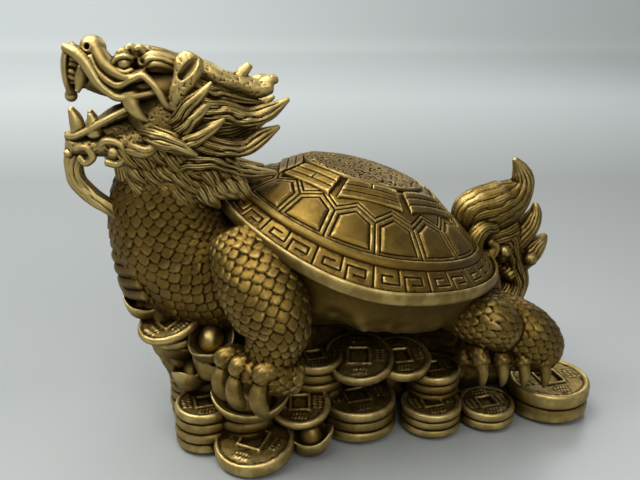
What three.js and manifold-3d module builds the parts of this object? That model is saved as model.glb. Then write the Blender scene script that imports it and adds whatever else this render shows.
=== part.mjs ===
// A cast brass dragon turtle standing on a heap of coins and ingots, as one solid.
// Millimetres, +Z up. The head faces -Y and the turtle's left side is +X. The flat underside is at Z = 0,
// and the origin is the middle of the figure's footprint box.
import * as THREE from "three";
import { mergeVertices } from "three/addons/utils/BufferGeometryUtils.js";
import Module from "manifold-3d";

// Driving sizes
const FIGURE_LENGTH = 320; // the pose and proportions of the beast are shares of this
const SHELL_LENGTH = 190;
const SHELL_WIDTH = 178;
const SHELL_RISE = 57; // from the rim to the crown, along the shell's own axis
const SHELL_TILT = 9.7; // degrees, rear end down
const CROWN_LEAN = 6.5; // degrees that the crown leans back beyond the rim
const SHELL_SADDLE = 27; // how far the rim lifts over the neck
const LIP_THICKNESS = 10;
const BEAD_HEIGHT = 1.9; // ring between the scutes and the fret border
const SCUTES = 16;
const SCUTE_RELIEF = 1.4;
const FRET_RELIEF = 1;
const FRET_STROKE = 1.7;
const TRIGRAMS = 8;
const TRIGRAM_RELIEF = 3.6;
const TRIGRAM_BAR = 4.6;
const TRIGRAM_GAP = 1;
const DISC_RADIUS = 38.5;
const DISC_THICKNESS = 6;
const DISC_CROWN = 5;
const COIN_RADIUS = 19;
const LARGE_COIN_RADIUS = 25;
const SMALL_COIN_RADIUS = 14;
const COIN_THICKNESS = 7.2;
const COIN_EDGE_GROOVE = 1.2;
const COIN_RIM = 2.6; // width of the raised rim round a coin's face
const COIN_FACE_DEPTH = 1.2; // how far the face lies below its rim
const COIN_HOLE = 10; // side of the square hole
const INGOT_LENGTH = 44;
const INGOT_WIDTH = 24;
const INGOT_HEIGHT = 18;

const FACETS = 9800; // triangles in the finished skin

const BRASS = 0x8f6f2e;
const BRASS_ROUGHNESS = 0.38;
const UNIT = FIGURE_LENGTH / 320;
const ACROSS = new THREE.Vector3(1, 0, 0);
const ALONG = new THREE.Vector3(0, 1, 0);
const rad = THREE.MathUtils.degToRad;

const wasm = await Module();
wasm.setup();

// Solids from geometries

function solid(geometry) {
  geometry.deleteAttribute("normal");
  geometry.deleteAttribute("uv");
  const merged = mergeVertices(geometry, 1e-4);
  const mesh = new wasm.Mesh({
    numProp: 3,
    vertProperties: new Float32Array(merged.attributes.position.array),
    triVerts: new Uint32Array(merged.index.array),
  });
  return new wasm.Manifold(mesh);
}

const fuse = (parts) => parts.reduce((body, part) => body.add(part));

// The skin of a pocket sealed inside a solid faces inwards, so it comes apart with a volume below zero
const withoutPockets = (body) => fuse(body.decompose().filter((part) => part.volume() > 0));

// A closed skin over rings of points, all with as many points, from the point `first` to the point `last`
function skin(rings, first, last) {
  const sides = rings[0].length;
  const end = 1 + rings.length * sides;
  const at = (ring, i) => 1 + ring * sides + (i % sides);
  const index = [];
  for (let i = 0; i < sides; i++) {
    index.push(0, at(0, i + 1), at(0, i));
    index.push(end, at(rings.length - 1, i), at(rings.length - 1, i + 1));
    for (let r = 0; r + 1 < rings.length; r++) {
      index.push(at(r, i), at(r, i + 1), at(r + 1, i + 1));
      index.push(at(r, i), at(r + 1, i + 1), at(r + 1, i));
    }
  }
  const geometry = new THREE.BufferGeometry().setFromPoints([first, ...rings.flat(), last]);
  geometry.setIndex(index);
  return geometry;
}

const meanPoint = (points) =>
  points.reduce((sum, p) => sum.add(p), new THREE.Vector3()).divideScalar(points.length);

// A rounded limb through stations [x, y, z, half width, half depth], in shares of the figure.
// The half width lies along `side`. `nose` is how far the ends are rounded, as a share of their radius.
function limb(stations, { sides = 6, steps = 1, side = ACROSS, nose = 0.5 } = {}) {
  const centres = stations.map(([x, y, z]) => new THREE.Vector3(x, y, z).multiplyScalar(UNIT));
  const sizes = stations.map(([, , , a, b]) => new THREE.Vector3(a, b, 0).multiplyScalar(UNIT));
  const path = new THREE.CatmullRomCurve3(centres);
  const taper = new THREE.CatmullRomCurve3(sizes);
  const count = (stations.length - 1) * steps;
  const ring = (t) => {
    const forward = path.getTangent(t);
    const wide = side.clone().addScaledVector(forward, -side.dot(forward)).normalize();
    const deep = new THREE.Vector3().crossVectors(forward, wide);
    const size = taper.getPoint(t);
    return Array.from({ length: sides }, (_, i) => {
      const turn = (2 * Math.PI * (i + 0.5)) / sides;
      const point = path.getPoint(t).addScaledVector(wide, size.x * Math.cos(turn));
      return point.addScaledVector(deep, size.y * Math.sin(turn));
    });
  };
  const cap = (t, sign) => {
    const size = taper.getPoint(t);
    return path.getPoint(t).addScaledVector(path.getTangent(t), sign * nose * Math.min(size.x, size.y));
  };
  const rings = Array.from({ length: count + 1 }, (_, k) => ring(k / count));
  return solid(skin(rings, cap(0, -1), cap(1, 1)));
}

// An ellipsoid with its centre and radii in shares of the figure
function blob([x, y, z], [a, b, c], { wide = 8, high = 6 } = {}) {
  const ball = new THREE.SphereGeometry(1, wide, high).rotateX(Math.PI / 2);
  return solid(ball.scale(a, b, c).translate(x, y, z).scale(UNIT, UNIT, UNIT));
}

// The same shape on both sides of the centre plane. The head is cocked, so its far side lies lower.
const HEAD_COCK = 0.15;
const opposite = (cock) => ([x, y, z, ...rest]) => [-x, y, z - 2 * x * cock, ...rest];
const pair = (stations, options, cock = 0) => [
  limb(stations, options),
  limb(stations.map(opposite(cock)), options),
];
const headPair = (stations, options) => pair(stations, options, HEAD_COCK);
const blobPair = (centre, radii, options) => [
  blob(centre, radii, options),
  blob(opposite(HEAD_COCK)(centre), radii, options),
];

// Shell: `turn` goes round it from the tail over +X, `share` from the crown out to the rim

const DOME_POWER = 1.9;
const BEAD_INNER = 0.82;
const BEAD_OUTER = 0.86;
const FRET_OUTER = 0.965;
const SCUTE_SHOULDER = 0.645;
const SCUTE_APEX = 0.575;
const SCUTE_MARGIN = 0.012; // half the groove between scutes, as a share of the way out
const FLAT_CROWN = DISC_RADIUS / (SHELL_LENGTH / 2);
const shellAxes = new THREE.Matrix4()
  .makeTranslation(0, 22.5 * UNIT, 105 * UNIT)
  .multiply(new THREE.Matrix4().makeRotationX(-rad(SHELL_TILT)));

function onShell(turn, share, lift = 0) {
  const front = -Math.cos(turn);
  const dome = SHELL_RISE * (1 - Math.max(share, FLAT_CROWN) ** DOME_POWER);
  const saddle = SHELL_SADDLE * Math.max(0, front) ** 2 * share ** 4;
  const lean = Math.tan(rad(CROWN_LEAN)) * (SHELL_LENGTH / 2) * front * share * (1 - share ** 4);
  const x = (SHELL_WIDTH / 2) * share * Math.sin(turn);
  const y = -(SHELL_LENGTH / 2) * share * front;
  return new THREE.Vector3(x, y, dome + saddle + lean + lift).applyMatrix4(shellAxes);
}

// Share of the way out at which a circle about the crown lies
const shareOf = (turn, radius) =>
  2 * radius * Math.hypot(Math.cos(turn) / SHELL_LENGTH, Math.sin(turn) / SHELL_WIDTH);

function carapace() {
  const around = 2 * SCUTES;
  const bead = BEAD_HEIGHT;
  const lip = LIP_THICKNESS;
  // share of the way out, and height above the dome
  const profile = [
    [FLAT_CROWN, 0],
    [0.62, 0],
    [BEAD_INNER - 0.008, 0],
    [BEAD_INNER, bead],
    [BEAD_OUTER - 0.008, bead],
    [BEAD_OUTER, 0],
    [FRET_OUTER - 0.006, 0],
    [FRET_OUTER + 0.006, lip * 0.26],
    [1, lip * 0.1],
    [1, -lip * 0.4],
    [0.945, -lip * 0.9],
    [0.92, -lip - 3],
    [0.85, -lip - 24],
    [0.6, -lip - 44],
  ];
  const rings = profile.map(([share, lift]) =>
    Array.from({ length: around }, (_, i) => onShell((2 * Math.PI * i) / around, share, lift)),
  );
  return solid(skin(rings, onShell(0, 0), onShell(0, 0, -SHELL_RISE - 40)));
}

// A plate raised off the shell, with corners [turn, share]; its top edge is drawn in by `bevel`
function shellPlate(corners, relief, bevel = 0) {
  const middle = [0, 1].map((k) => corners.reduce((sum, c) => sum + c[k], 0) / corners.length);
  const ring = (lift, k) =>
    corners.map(([turn, share]) =>
      onShell(turn + (middle[0] - turn) * k, share + (middle[1] - share) * k, lift),
    );
  const rings = [ring(relief, bevel), ring(-4, 0)];
  return solid(skin(rings, onShell(...middle, relief), meanPoint(rings[1])));
}

function scutes() {
  const step = (2 * Math.PI) / SCUTES;
  const side = step * 0.44;
  const low = BEAD_INNER - SCUTE_MARGIN;
  const shoulder = SCUTE_SHOULDER + SCUTE_MARGIN;
  return Array.from({ length: SCUTES }, (_, k) => {
    const turn = k * step;
    const corners = [
      [turn - side, low],
      [turn + side, low],
      [turn + side, shoulder],
      [turn, SCUTE_APEX + SCUTE_MARGIN],
      [turn - side, shoulder],
    ];
    return shellPlate(corners, SCUTE_RELIEF, 0.12);
  });
}

// Three bars to a slab, whole or broken, in their usual round order
const TRIGRAM_BARS = ["110", "111", "011", "101", "001", "000", "100", "010"];
function trigrams() {
  const step = (2 * Math.PI) / TRIGRAMS;
  const reach = step * 0.44;
  const parting = step * 0.03;
  const bars = [];
  TRIGRAM_BARS.forEach((slab, k) => {
    const turn = (k + 0.3) * step;
    [...slab].forEach((whole, row) => {
      const inner = DISC_RADIUS + 1.5 + row * (TRIGRAM_BAR + TRIGRAM_GAP);
      const halves = whole === "1" ? [[-reach, reach]] : [[-reach, -parting], [parting, reach]];
      for (const [from, to] of halves) {
        // the bars are straight, so their middles lie nearer the crown than their ends
        const straight = (t, radius) => (radius * Math.cos(reach)) / Math.cos(t);
        const corner = (t, radius) => [turn + t, shareOf(turn + t, straight(t, radius))];
        const across = [from, (from + to) / 2, to];
        const outer = across.map((t) => corner(t, inner + TRIGRAM_BAR));
        const near = across.map((t) => corner(t, inner)).reverse();
        bars.push(shellPlate([...outer, ...near], TRIGRAM_RELIEF));
      }
    });
  });
  return bars;
}

function crownDisc() {
  const profile = [
    [0, -14],
    [DISC_RADIUS - 2, -14],
    [DISC_RADIUS, -2],
    [DISC_RADIUS - 0.8, DISC_THICKNESS],
    [DISC_RADIUS * 0.6, DISC_THICKNESS + DISC_CROWN * 0.65],
    [0, DISC_THICKNESS + DISC_CROWN],
  ];
  const outline = profile.map(([radius, height]) => new THREE.Vector2(radius, height));
  const disc = new THREE.LatheGeometry(outline, 32).rotateX(Math.PI / 2).rotateX(-rad(CROWN_LEAN));
  const seat = SHELL_RISE * (1 - FLAT_CROWN ** DOME_POWER);
  return solid(disc.translate(0, 0, seat).applyMatrix4(shellAxes));
}

// Fret border: a bar between scutes, and two squared hooks that reach past each other, for each scute.
// Places are [share of the scute, share of the border's width from the lip to the bead].
const FRET_BARS = [
  [[0, 0.02], [0, 1]],
  [[0.3, 0.36], [0.3, 1]],
  [[0.7, 0.02], [0.7, 0.66]],
];
function fret() {
  const step = (2 * Math.PI) / SCUTES;
  const width = FRET_OUTER - BEAD_OUTER;
  const stroke = FRET_STROKE / (SHELL_LENGTH + SHELL_WIDTH) * 4;
  return Array.from({ length: SCUTES }, (_, k) =>
    FRET_BARS.map(([[u, from], [, to]]) => {
      const turn = (k + 0.5 + u) * step;
      const corners = [
        [turn - stroke / 2, FRET_OUTER - width * from],
        [turn + stroke / 2, FRET_OUTER - width * from],
        [turn + stroke / 2, FRET_OUTER - width * to],
        [turn - stroke / 2, FRET_OUTER - width * to],
      ];
      return shellPlate(corners, FRET_RELIEF);
    }),
  ).flat();
}

// Body, neck, legs and tail

const BODY = [
  [0, -64, 84, 44, 38],
  [0, -20, 72, 62, 46],
  [0, 50, 66, 62, 44],
  [0, 108, 56, 50, 36],
];
const NECK = [
  [0, -50, 92, 44, 38],
  [0, -74, 104, 37, 40],
  [0, -87, 124, 32, 37],
  [0, -91, 146, 28, 32],
  [0, -87, 168, 25, 27],
];

function bellyBands() {
  const bands = 7;
  return Array.from({ length: bands }, (_, k) => {
    const t = k / (bands - 1);
    const z = 96 + 44 * t;
    const y = -119 - 7 * Math.sin(Math.PI * t);
    const stations = [
      [-17, y + 8, z + 2, 4, 3],
      [0, y, z - 2, 4, 3],
      [17, y + 8, z + 2, 4, 3],
    ];
    return limb(stations, { sides: 4, side: ALONG });
  });
}

const FORELEG = [
  [38, -42, 108, 16, 19],
  [57, -49, 110, 19, 21],
  [68, -48, 101, 19, 21],
  [70, -45, 88, 16, 18],
  [70, -48, 76, 13, 13.5],
  [70, -52, 64, 13, 13],
];
const FOREPAW = [
  [72, -36, 62, 13, 12],
  [72, -52, 64, 18, 12],
  [70, -66, 62, 17, 8],
];
const THIGH = [
  [34, 74, 90, 26, 28],
  [48, 92, 76, 26, 28],
  [54, 106, 58, 26, 28],
  [56, 112, 42, 22, 30],
];
const HINDPAW = [
  [56, 78, 44, 12, 12],
  [60, 98, 44, 13, 13],
  [58, 120, 42, 13, 13],
  [52, 136, 38, 10, 12],
];

// A toe and its claw: from the knuckle forward by `reach`, and down to the coins
function toe([x, y, z], [reachX, reachY], drop, width) {
  const at = (k, down) => [x + reachX * k, y + reachY * k, z - down];
  return [
    [...at(-0.8, 2), width, width],
    [...at(0.2, 0), width * 1.1, width * 1.1],
    [...at(0.9, drop * 0.3), width * 0.85, width * 0.85],
    [...at(1, drop), width * 0.35, width * 0.4],
  ];
}
const FORE_TOES = [
  [57, -69],
  [67, -67],
  [77, -61],
  [85, -50],
];
const foreclaws = () =>
  FORE_TOES.flatMap(([x, y]) => pair(toe([x, y, 67], [(x - 66) * 0.3, -8], 19, 5.2), { sides: 5 }));

const hindclaws = () =>
  [79, 94, 110, 126].flatMap((y, k) =>
    pair(toe([66, y, 48 - 2 * k], [9, 0], 20, 5.2), { sides: 5, side: ALONG }),
  );

function legs() {
  return [
    ...pair(FORELEG, { sides: 10 }),
    ...pair(FOREPAW, { sides: 8 }),
    ...pair(THIGH, { sides: 10 }),
    ...pair(HINDPAW, { sides: 8 }),
    ...foreclaws(),
    ...hindclaws(),
  ];
}

// The tail's stem and its flames, from root to tip
const TAIL_STEM = [
  [0, 96, 60, 15, 16],
  [0, 128, 50, 14, 13],
  [0, 142, 62, 11, 10],
  [0, 139, 80, 10, 9],
  [0, 132, 98, 10, 12],
];
const TAIL_FLAMES = [
  [
    [0, 102, 106, 9, 9],
    [0, 106, 118, 13, 15],
    [0, 120, 121, 14, 17],
    [0, 133, 126, 12, 15],
    [0, 141, 136, 8, 9],
    [0, 139, 145, 5, 6],
    [0, 134, 152, 2, 2.5],
  ],
  [
    [0, 132, 92, 9, 8],
    [0, 145, 102, 8, 8],
    [0, 152, 111, 5, 5],
    [0, 154, 120, 1.5, 2],
  ],
  [
    [0, 138, 76, 9, 7],
    [0, 150, 82, 7, 8],
    [0, 158, 90, 5, 5],
    [0, 164, 97, 1.5, 2],
  ],
];
const TAIL_CURL = [
  [9, 108, 112, 5, 6],
  [12, 104, 102, 5, 6],
  [12, 113, 94, 4, 5],
  [10, 122, 100, 4, 4],
];

function tail() {
  return [
    limb(TAIL_STEM, { sides: 8 }),
    ...TAIL_FLAMES.map((stations) => limb(stations, { sides: 6 })),
    ...pair(TAIL_CURL, { sides: 5 }),
  ];
}

// Head

const SKULL = [
  [0, -62, 190, 22, 24],
  [0, -82, 194, 30, 30],
  [0, -100, 190, 27, 22],
];
const THROAT = [
  [0, -82, 158, 26, 26],
  [0, -98, 172, 26, 22],
];
const MUZZLE = [
  [0, -84, 214, 24, 14],
  [0, -104, 215, 22, 10],
  [0, -122, 218, 19, 9],
  [0, -136, 224, 15, 11],
];
const NOSE_PLATE = [
  [0, -130, 225, 12, 10],
  [0, -137, 226, 14, 13],
  [0, -142, 226, 15, 14],
];
const NOSE_BRIDGE = [
  [0, -126, 232, 10, 6],
  [0, -119, 225, 12, 5],
  [0, -110, 220, 14, 5],
  [0, -94, 221, 16, 8],
];
const NOSE_WING = [
  [9, -126, 234, 6, 6],
  [15, -120, 226, 6, 5],
  [20, -111, 221, 6, 3.5],
  [22, -102, 222, 5, 3],
];
const LOWER_JAW = [
  [0, -92, 192, 27, 15],
  [0, -114, 188, 23, 12],
  [0, -131, 185, 18, 9],
  [0, -143, 184, 12, 7.5],
];
const GOATEE = [
  [0, -141, 182, 10, 7],
  [0, -144, 170, 7, 5],
  [0, -142, 160, 6, 5],
  [0, -134, 151, 5.5, 4.5],
  [0, -118, 144, 5, 4.5],
];
const WHISKER = [
  [14, -129, 232, 2.4, 2.4],
  [20, -121, 220, 2.6, 2.4],
  [24, -111, 220, 2.6, 2.4],
  [26, -102, 222, 2.6, 2.4],
  [28, -95, 211, 2.6, 2.4],
  [29, -84, 206, 2.6, 2.4],
  [30, -74, 215, 1.6, 1.6],
];
const UPPER_LIP = [
  [9, -139, 219, 3, 3],
  [19, -125, 215, 2.6, 2.6],
  [23, -110, 212, 2.4, 2.4],
  [25, -97, 214, 2, 2],
];
const LOWER_LIP = [
  [5, -147, 192, 2.6, 2.6],
  [12, -141, 190, 2.6, 2.6],
  [18, -127, 197, 2.4, 2.6],
  [23, -114, 205, 2, 2],
];
const FANG = [
  [21, -111, 213, 3.2, 4.5],
  [22, -106, 200, 0.8, 1],
];
const LOWER_TEETH = [
  [[9, -138, 190, 3.2, 3.2], [9, -136, 202, 1, 1.2]],
  [[5, -143, 191, 2.6, 2.8], [5, -142, 204, 1, 1.2]],
];
const HORN = [
  [11, -80, 224, 7, 6],
  [13, -66, 220, 7.4, 5.6],
  [14, -50, 213, 6.6, 5.4],
  [14, -34, 211, 4.6, 4],
];
const HORN_TINE = [
  [14, -52, 214, 4.5, 4.5],
  [14, -47, 223, 2.4, 2.6],
];
const EAR = [
  [28, -88, 208, 4, 5],
  [29, -84, 218, 5, 7],
  [27, -77, 230, 3, 4],
];
const BROW = [
  [14, -114, 231, 4, 3],
  [15, -106, 232, 6, 5],
  [16, -97, 228, 8, 7],
  [15, -86, 221, 3, 3],
];

function head() {
  return [
    limb(SKULL, { sides: 10 }),
    limb(THROAT, { sides: 8 }),
    limb(MUZZLE, { sides: 8 }),
    limb(NOSE_PLATE, { sides: 10, nose: -0.3 }),
    limb(NOSE_BRIDGE, { sides: 6 }),
    limb(LOWER_JAW, { sides: 8 }),
    limb(GOATEE, { sides: 6 }),
    blob([0, -100, 203], [20, 16, 14], { wide: 8, high: 5 }),
    ...blobPair([7, -127, 236], [7, 7, 6.5], { wide: 8, high: 5 }),
    ...blobPair([16, -112, 229], [4.4, 4, 4], { wide: 6, high: 4 }),
    ...blobPair([14, -127, 181], [5, 6, 6], { wide: 6, high: 4 }),
    ...headPair(NOSE_WING, { sides: 5 }),
    ...headPair(WHISKER, { sides: 4 }),
    ...headPair(UPPER_LIP, { sides: 4 }),
    ...headPair(LOWER_LIP, { sides: 4 }),
    ...headPair(FANG, { sides: 4 }),
    ...LOWER_TEETH.flatMap((tooth) => headPair(tooth, { sides: 4 })),
    ...headPair(HORN, { sides: 6 }),
    ...headPair(HORN_TINE, { sides: 5 }),
    ...headPair(EAR, { sides: 6 }),
    ...headPair(BROW, { sides: 6 }),
  ];
}

// Locks of the mane, from root to tip
const MANE_LOCKS = [
  [[15, -78, 215, 8, 6], [16, -62, 209, 7, 5], [14, -36, 202, 1.5, 2]],
  [[22, -80, 203, 9, 8], [22, -62, 201, 8, 7], [21, -44, 197, 7, 6], [19, -24, 205, 1.6, 2]],
  [[25, -81, 188, 9, 9], [24, -64, 183, 8, 7], [22, -48, 181, 6, 5], [20, -31, 190, 1.6, 2]],
  [[26, -85, 174, 9, 9], [24, -66, 173, 8, 7], [22, -54, 166, 6, 5], [18, -33, 163, 1.8, 2]],
];
const CHEEK_LOCKS = [
  [[28, -86, 198, 5, 5], [32, -81, 208, 4.5, 4.5], [34, -71, 216, 1, 1.4]],
  [[28, -92, 187, 5, 5], [33, -80, 191, 5, 4.5], [33, -67, 197, 1, 1.4]],
  [[27, -99, 192, 5, 5], [32, -91, 189, 5, 4.5], [34, -82, 185, 1, 1.4]],
];

function mane() {
  const fringeLocks = 5;
  const fringe = Array.from({ length: fringeLocks }, (_, k) => {
    const t = k / (fringeLocks - 1);
    const y = -114 + 42 * t;
    return [
      [19 + 5 * t, y, 184 - 4 * t, 4, 6],
      [23 + 4 * t, y + 4, 172 - 5 * t, 4, 6],
      [18 + 6 * t, y + 10, 156 - 6 * Math.sin(t * 2.4), 1, 2],
    ];
  });
  return [
    limb([[0, -84, 200, 24, 22], [0, -60, 190, 23, 24], [0, -44, 184, 12, 14]], { sides: 8 }),
    ...MANE_LOCKS.flatMap((lock) => headPair(lock, { sides: 5 })),
    ...[...CHEEK_LOCKS, ...fringe].flatMap((lock) => headPair(lock, { sides: 4 })),
  ];
}

// Coins, ingots and the heap they lie on

// Moves a solid from its own axes: turned by `heading` about Z after it leans over by `lean` towards +X.
// It lies on as many coins as `below` says.
function placed(body, { x, y, below, heading = 0, lean = 0 }) {
  const place = new THREE.Matrix4()
    .makeTranslation(x * UNIT, y * UNIT, below * COIN_THICKNESS)
    .multiply(new THREE.Matrix4().makeRotationZ(rad(heading)))
    .multiply(new THREE.Matrix4().makeRotationY(rad(lean)));
  return body.transform(place.toArray());
}

// The same place on the far side
const acrossFrom = ({ x, y, below, heading = 0, lean = 0 }) => ({
  x: -x,
  y: y < 0 ? y + FAR_SIDE_BACK : y,
  below,
  heading: 180 - heading,
  lean,
});

function coins({ radius = COIN_RADIUS, layers = 3, face = true } = {}) {
  const profile = [[0, 0]];
  for (let k = 0; k < layers; k++) {
    profile.push([radius, k * COIN_THICKNESS], [radius - COIN_EDGE_GROOVE, (k + 1) * COIN_THICKNESS]);
  }
  const top = layers * COIN_THICKNESS;
  const floor = face ? top - COIN_FACE_DEPTH : top;
  const inner = radius - COIN_RIM;
  if (face) profile.push([inner, top], [inner - COIN_FACE_DEPTH, floor]);
  profile.push([0, floor]);
  const outline = profile.map(([r, z]) => new THREE.Vector2(r, z));
  const stack = solid(new THREE.LatheGeometry(outline, face ? 12 : 10).rotateX(Math.PI / 2));
  if (!face) return stack;
  const hole = new THREE.BoxGeometry(COIN_HOLE, COIN_HOLE, COIN_THICKNESS).rotateZ(rad(20));
  return stack.subtract(solid(hole.translate(0, 0, top)));
}

// A boat-shaped ingot with upturned ends and a domed middle
function ingot() {
  const rise = INGOT_HEIGHT;
  // share of the plan, height, and how far the ends curl up
  const profile = [
    [0.6, 0, 0],
    [1, rise * 0.58, rise * 0.34],
    [0.84, rise * 0.58, rise * 0.34],
    [0.52, rise * 0.42, 0],
    [0.34, rise * 0.78, 0],
  ];
  const sides = 8;
  const rings = profile.map(([share, height, curl]) =>
    Array.from({ length: sides }, (_, i) => {
      const turn = (2 * Math.PI * i) / sides;
      const x = (INGOT_LENGTH / 2) * share * Math.cos(turn);
      const y = (INGOT_WIDTH / 2) * share * Math.sin(turn);
      return new THREE.Vector3(x, y, height + curl * Math.abs(Math.cos(turn)) ** 3);
    }),
  );
  return solid(skin(rings, new THREE.Vector3(), new THREE.Vector3(0, 0, rise * 0.9)));
}

// Stacks on one side: x and y in shares of the figure, coins below, heading and lean in degrees
const STACKS = [
  { x: 53, y: -56, below: 0.7, layers: 1, radius: LARGE_COIN_RADIUS, heading: -40, lean: 12, face: true },
  { x: 46, y: -58, below: 0, layers: 5, radius: COIN_RADIUS },
  { x: 52, y: -54, below: 3.9, layers: 2, radius: LARGE_COIN_RADIUS * 0.92 },
  { x: 29, y: -83, below: 0, layers: 4, radius: COIN_RADIUS * 0.95 },
  { x: 50, y: -30, below: 3, layers: 1, radius: COIN_RADIUS * 0.9, lean: 22, heading: -10, face: true },
  { x: 56, y: -26, below: 0, layers: 2, radius: SMALL_COIN_RADIUS },
  { x: 43, y: 11, below: 0, radius: LARGE_COIN_RADIUS, face: true },
  { x: 34, y: 15, below: 4.5, layers: 1, radius: LARGE_COIN_RADIUS * 0.92, heading: -15, lean: 24 },
  { x: 36, y: 43, below: 4.5, layers: 1, lean: 16, face: true },
  { x: 42, y: 63, below: 0, layers: 4, radius: COIN_RADIUS * 0.9, face: true },
  { x: 56, y: 57, below: 0, layers: 2, face: true },
  { x: 60, y: 94, below: 0, layers: 2, face: true },
  { x: 57, y: 139, below: 0, radius: LARGE_COIN_RADIUS, face: true },
  { x: 24, y: 146, below: 0, layers: 2 },
];
const FAR_SIDE_BACK = 9; // the far side's front stacks lie this much further back
const INGOTS = [
  { x: 30, y: -72, below: 6.5, heading: 115, lean: 8 },
  { x: 18, y: -84, below: 4.4, heading: 150, lean: 0 },
];
// Under the chest, not mirrored
const CHEST_COIN = { x: 8, y: -98, below: 8.4, heading: 200, lean: 12 };
const CHEST_INGOTS = [
  { x: 2, y: -114, below: 11.4, heading: 80, lean: 10 },
  { x: -14, y: -104, below: 9.4, heading: 120, lean: 4 },
];
const HEAP = [
  [0, -62, 12, 50, 18],
  [0, -10, 14, 52, 24],
  [0, 60, 14, 50, 28],
  [0, 128, 12, 50, 16],
];
const CHEST_HEAP = [
  [0, -62, 14, 40, 28],
  [0, -84, 34, 24, 18],
  [0, -98, 66, 20, 18],
  [0, -106, 90, 18, 16],
];

function heap() {
  return [
    limb(HEAP, { sides: 12 }),
    limb(CHEST_HEAP, { sides: 10 }),
    placed(coins({ radius: COIN_RADIUS * 1.05, layers: 1 }), CHEST_COIN),
    ...CHEST_INGOTS.map((place) => placed(ingot(), place)),
    ...STACKS.map((stack) => placed(coins({ face: false, ...stack }), stack)),
    ...STACKS.map((stack) => placed(coins({ ...stack, face: false }), acrossFrom(stack))),
    ...INGOTS.flatMap((place) => [placed(ingot(), place), placed(ingot(), acrossFrom(place))]),
  ];
}

// The whole casting, cut flat where it stands
function casting() {
  const beast = [carapace(), ...scutes(), ...trigrams(), crownDisc(), ...fret()];
  beast.push(limb(BODY, { sides: 10 }), limb(NECK, { sides: 12 }), ...bellyBands());
  beast.push(...legs(), ...tail(), ...head(), ...mane());
  const size = 2 * FIGURE_LENGTH;
  const below = solid(new THREE.BoxGeometry(size, size, size).translate(0, 0, -size / 2));
  return withoutPockets(fuse([...beast, ...heap()]).subtract(below));
}

// Fewer triangles

const facePlane = (points, face) => {
  const [a, b, c] = face.map((v) => points[v]);
  const normal = new THREE.Vector3().crossVectors(b.clone().sub(a), c.clone().sub(a));
  const area = normal.length() / 2;
  normal.normalize();
  return { normal, area, offset: normal.dot(a) };
};

// How far a point lies off the planes of some faces, weighted by their areas
const planeError = (point, planes) =>
  planes.reduce((sum, { normal, area, offset }) => sum + area * (normal.dot(point) - offset) ** 2, 0);

// Moves an edge's two ends to the one place that changes the faces round them least
function cheapestCollapse(points, planes, a, b) {
  const ends = [points[a], points[b]];
  const onGround = ends.map((p) => Math.abs(p.z) < 1e-4);
  if (onGround[0] !== onGround[1]) ends.splice(onGround[0] ? 1 : 0, 1);
  const places = ends.length === 2 ? [...ends, ends[0].clone().lerp(ends[1], 0.5)] : ends;
  const costs = places.map((place) => planeError(place, planes));
  const best = costs.indexOf(Math.min(...costs));
  return { a, b, place: places[best], cost: costs[best] + 2e-3 * points[a].distanceToSquared(points[b]) };
}

// True where the faces that stay keep facing as they did once their corner has moved
function facesHold(points, faces, planes, around, { a, b, place }) {
  return [...around[a], ...around[b]].every((k) => {
    const face = faces[k];
    if (face.includes(a) && face.includes(b)) return true;
    const moved = face.map((v) => (v === a || v === b ? place : points[v]));
    const after = facePlane(moved, [0, 1, 2]);
    return after.area > 0.02 && after.normal.dot(planes[k].normal) > 0.5;
  });
}

function thinned(points, faces, limit) {
  while (faces.length > limit) {
    const planes = faces.map((face) => facePlane(points, face));
    const around = points.map(() => []);
    faces.forEach((face, k) => face.forEach((v) => around[v].push(k)));
    const neighbours = (v) => new Set(around[v].flatMap((k) => faces[k]));
    const edges = faces.flatMap((face) =>
      face.flatMap((a, i) => {
        const b = face[(i + 1) % 3];
        if (a > b) return [];
        return cheapestCollapse(points, [...around[a], ...around[b]].map((k) => planes[k]), a, b);
      }),
    );
    edges.sort((one, other) => one.cost - other.cost);
    const touched = new Set();
    const gone = new Map();
    const most = Math.min((faces.length - limit) / 2, faces.length / 16);
    for (const edge of edges) {
      const { a, b, place } = edge;
      if (gone.size >= most) break;
      if (touched.has(a) || touched.has(b)) continue;
      const beside = neighbours(b);
      const shared = [...neighbours(a)].filter((v) => v !== a && v !== b && beside.has(v));
      if (shared.length !== 2 || !facesHold(points, faces, planes, around, edge)) continue;
      neighbours(a).forEach((v) => touched.add(v));
      beside.forEach((v) => touched.add(v));
      points[a] = place.clone();
      gone.set(b, a);
    }
    if (!gone.size) break;
    faces = faces.map((face) => face.map((v) => gone.get(v) ?? v));
    faces = faces.filter(([a, b, c]) => a !== b && b !== c && c !== a);
  }
  return faces;
}

function toMesh(body, name) {
  const { vertProperties, triVerts } = body.getMesh();
  const points = Array.from({ length: vertProperties.length / 3 }, (_, i) =>
    new THREE.Vector3().fromArray(vertProperties, 3 * i),
  );
  const face = (k) => [...triVerts.subarray(3 * k, 3 * k + 3)];
  const faces = Array.from({ length: triVerts.length / 3 }, (_, k) => face(k));
  const corners = thinned(points, faces, FACETS).flat();
  const loose = new THREE.BufferGeometry().setFromPoints(corners.map((v) => points[v]));
  const brass = new THREE.MeshStandardMaterial({ color: BRASS, roughness: BRASS_ROUGHNESS, metalness: 1 });
  const mesh = new THREE.Mesh(mergeVertices(loose, 1e-5), brass);
  mesh.name = name;
  return mesh;
}

const figure = toMesh(casting(), "dragon_turtle");
const footprint = new THREE.Box3().setFromObject(figure).getCenter(new THREE.Vector3());
figure.position.set(-footprint.x, -footprint.y, 0);

const group = new THREE.Group();
group.add(figure);
export default group;
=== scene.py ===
# A cast brass dragon turtle on a heap of coins and ingots.
# Lengths are millimetres in the figure's own axes, with the head towards -Y, the left side at +X and the
# underside at Z = 0, until `placed_in_frame` moves them into the frame.
import math

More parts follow.
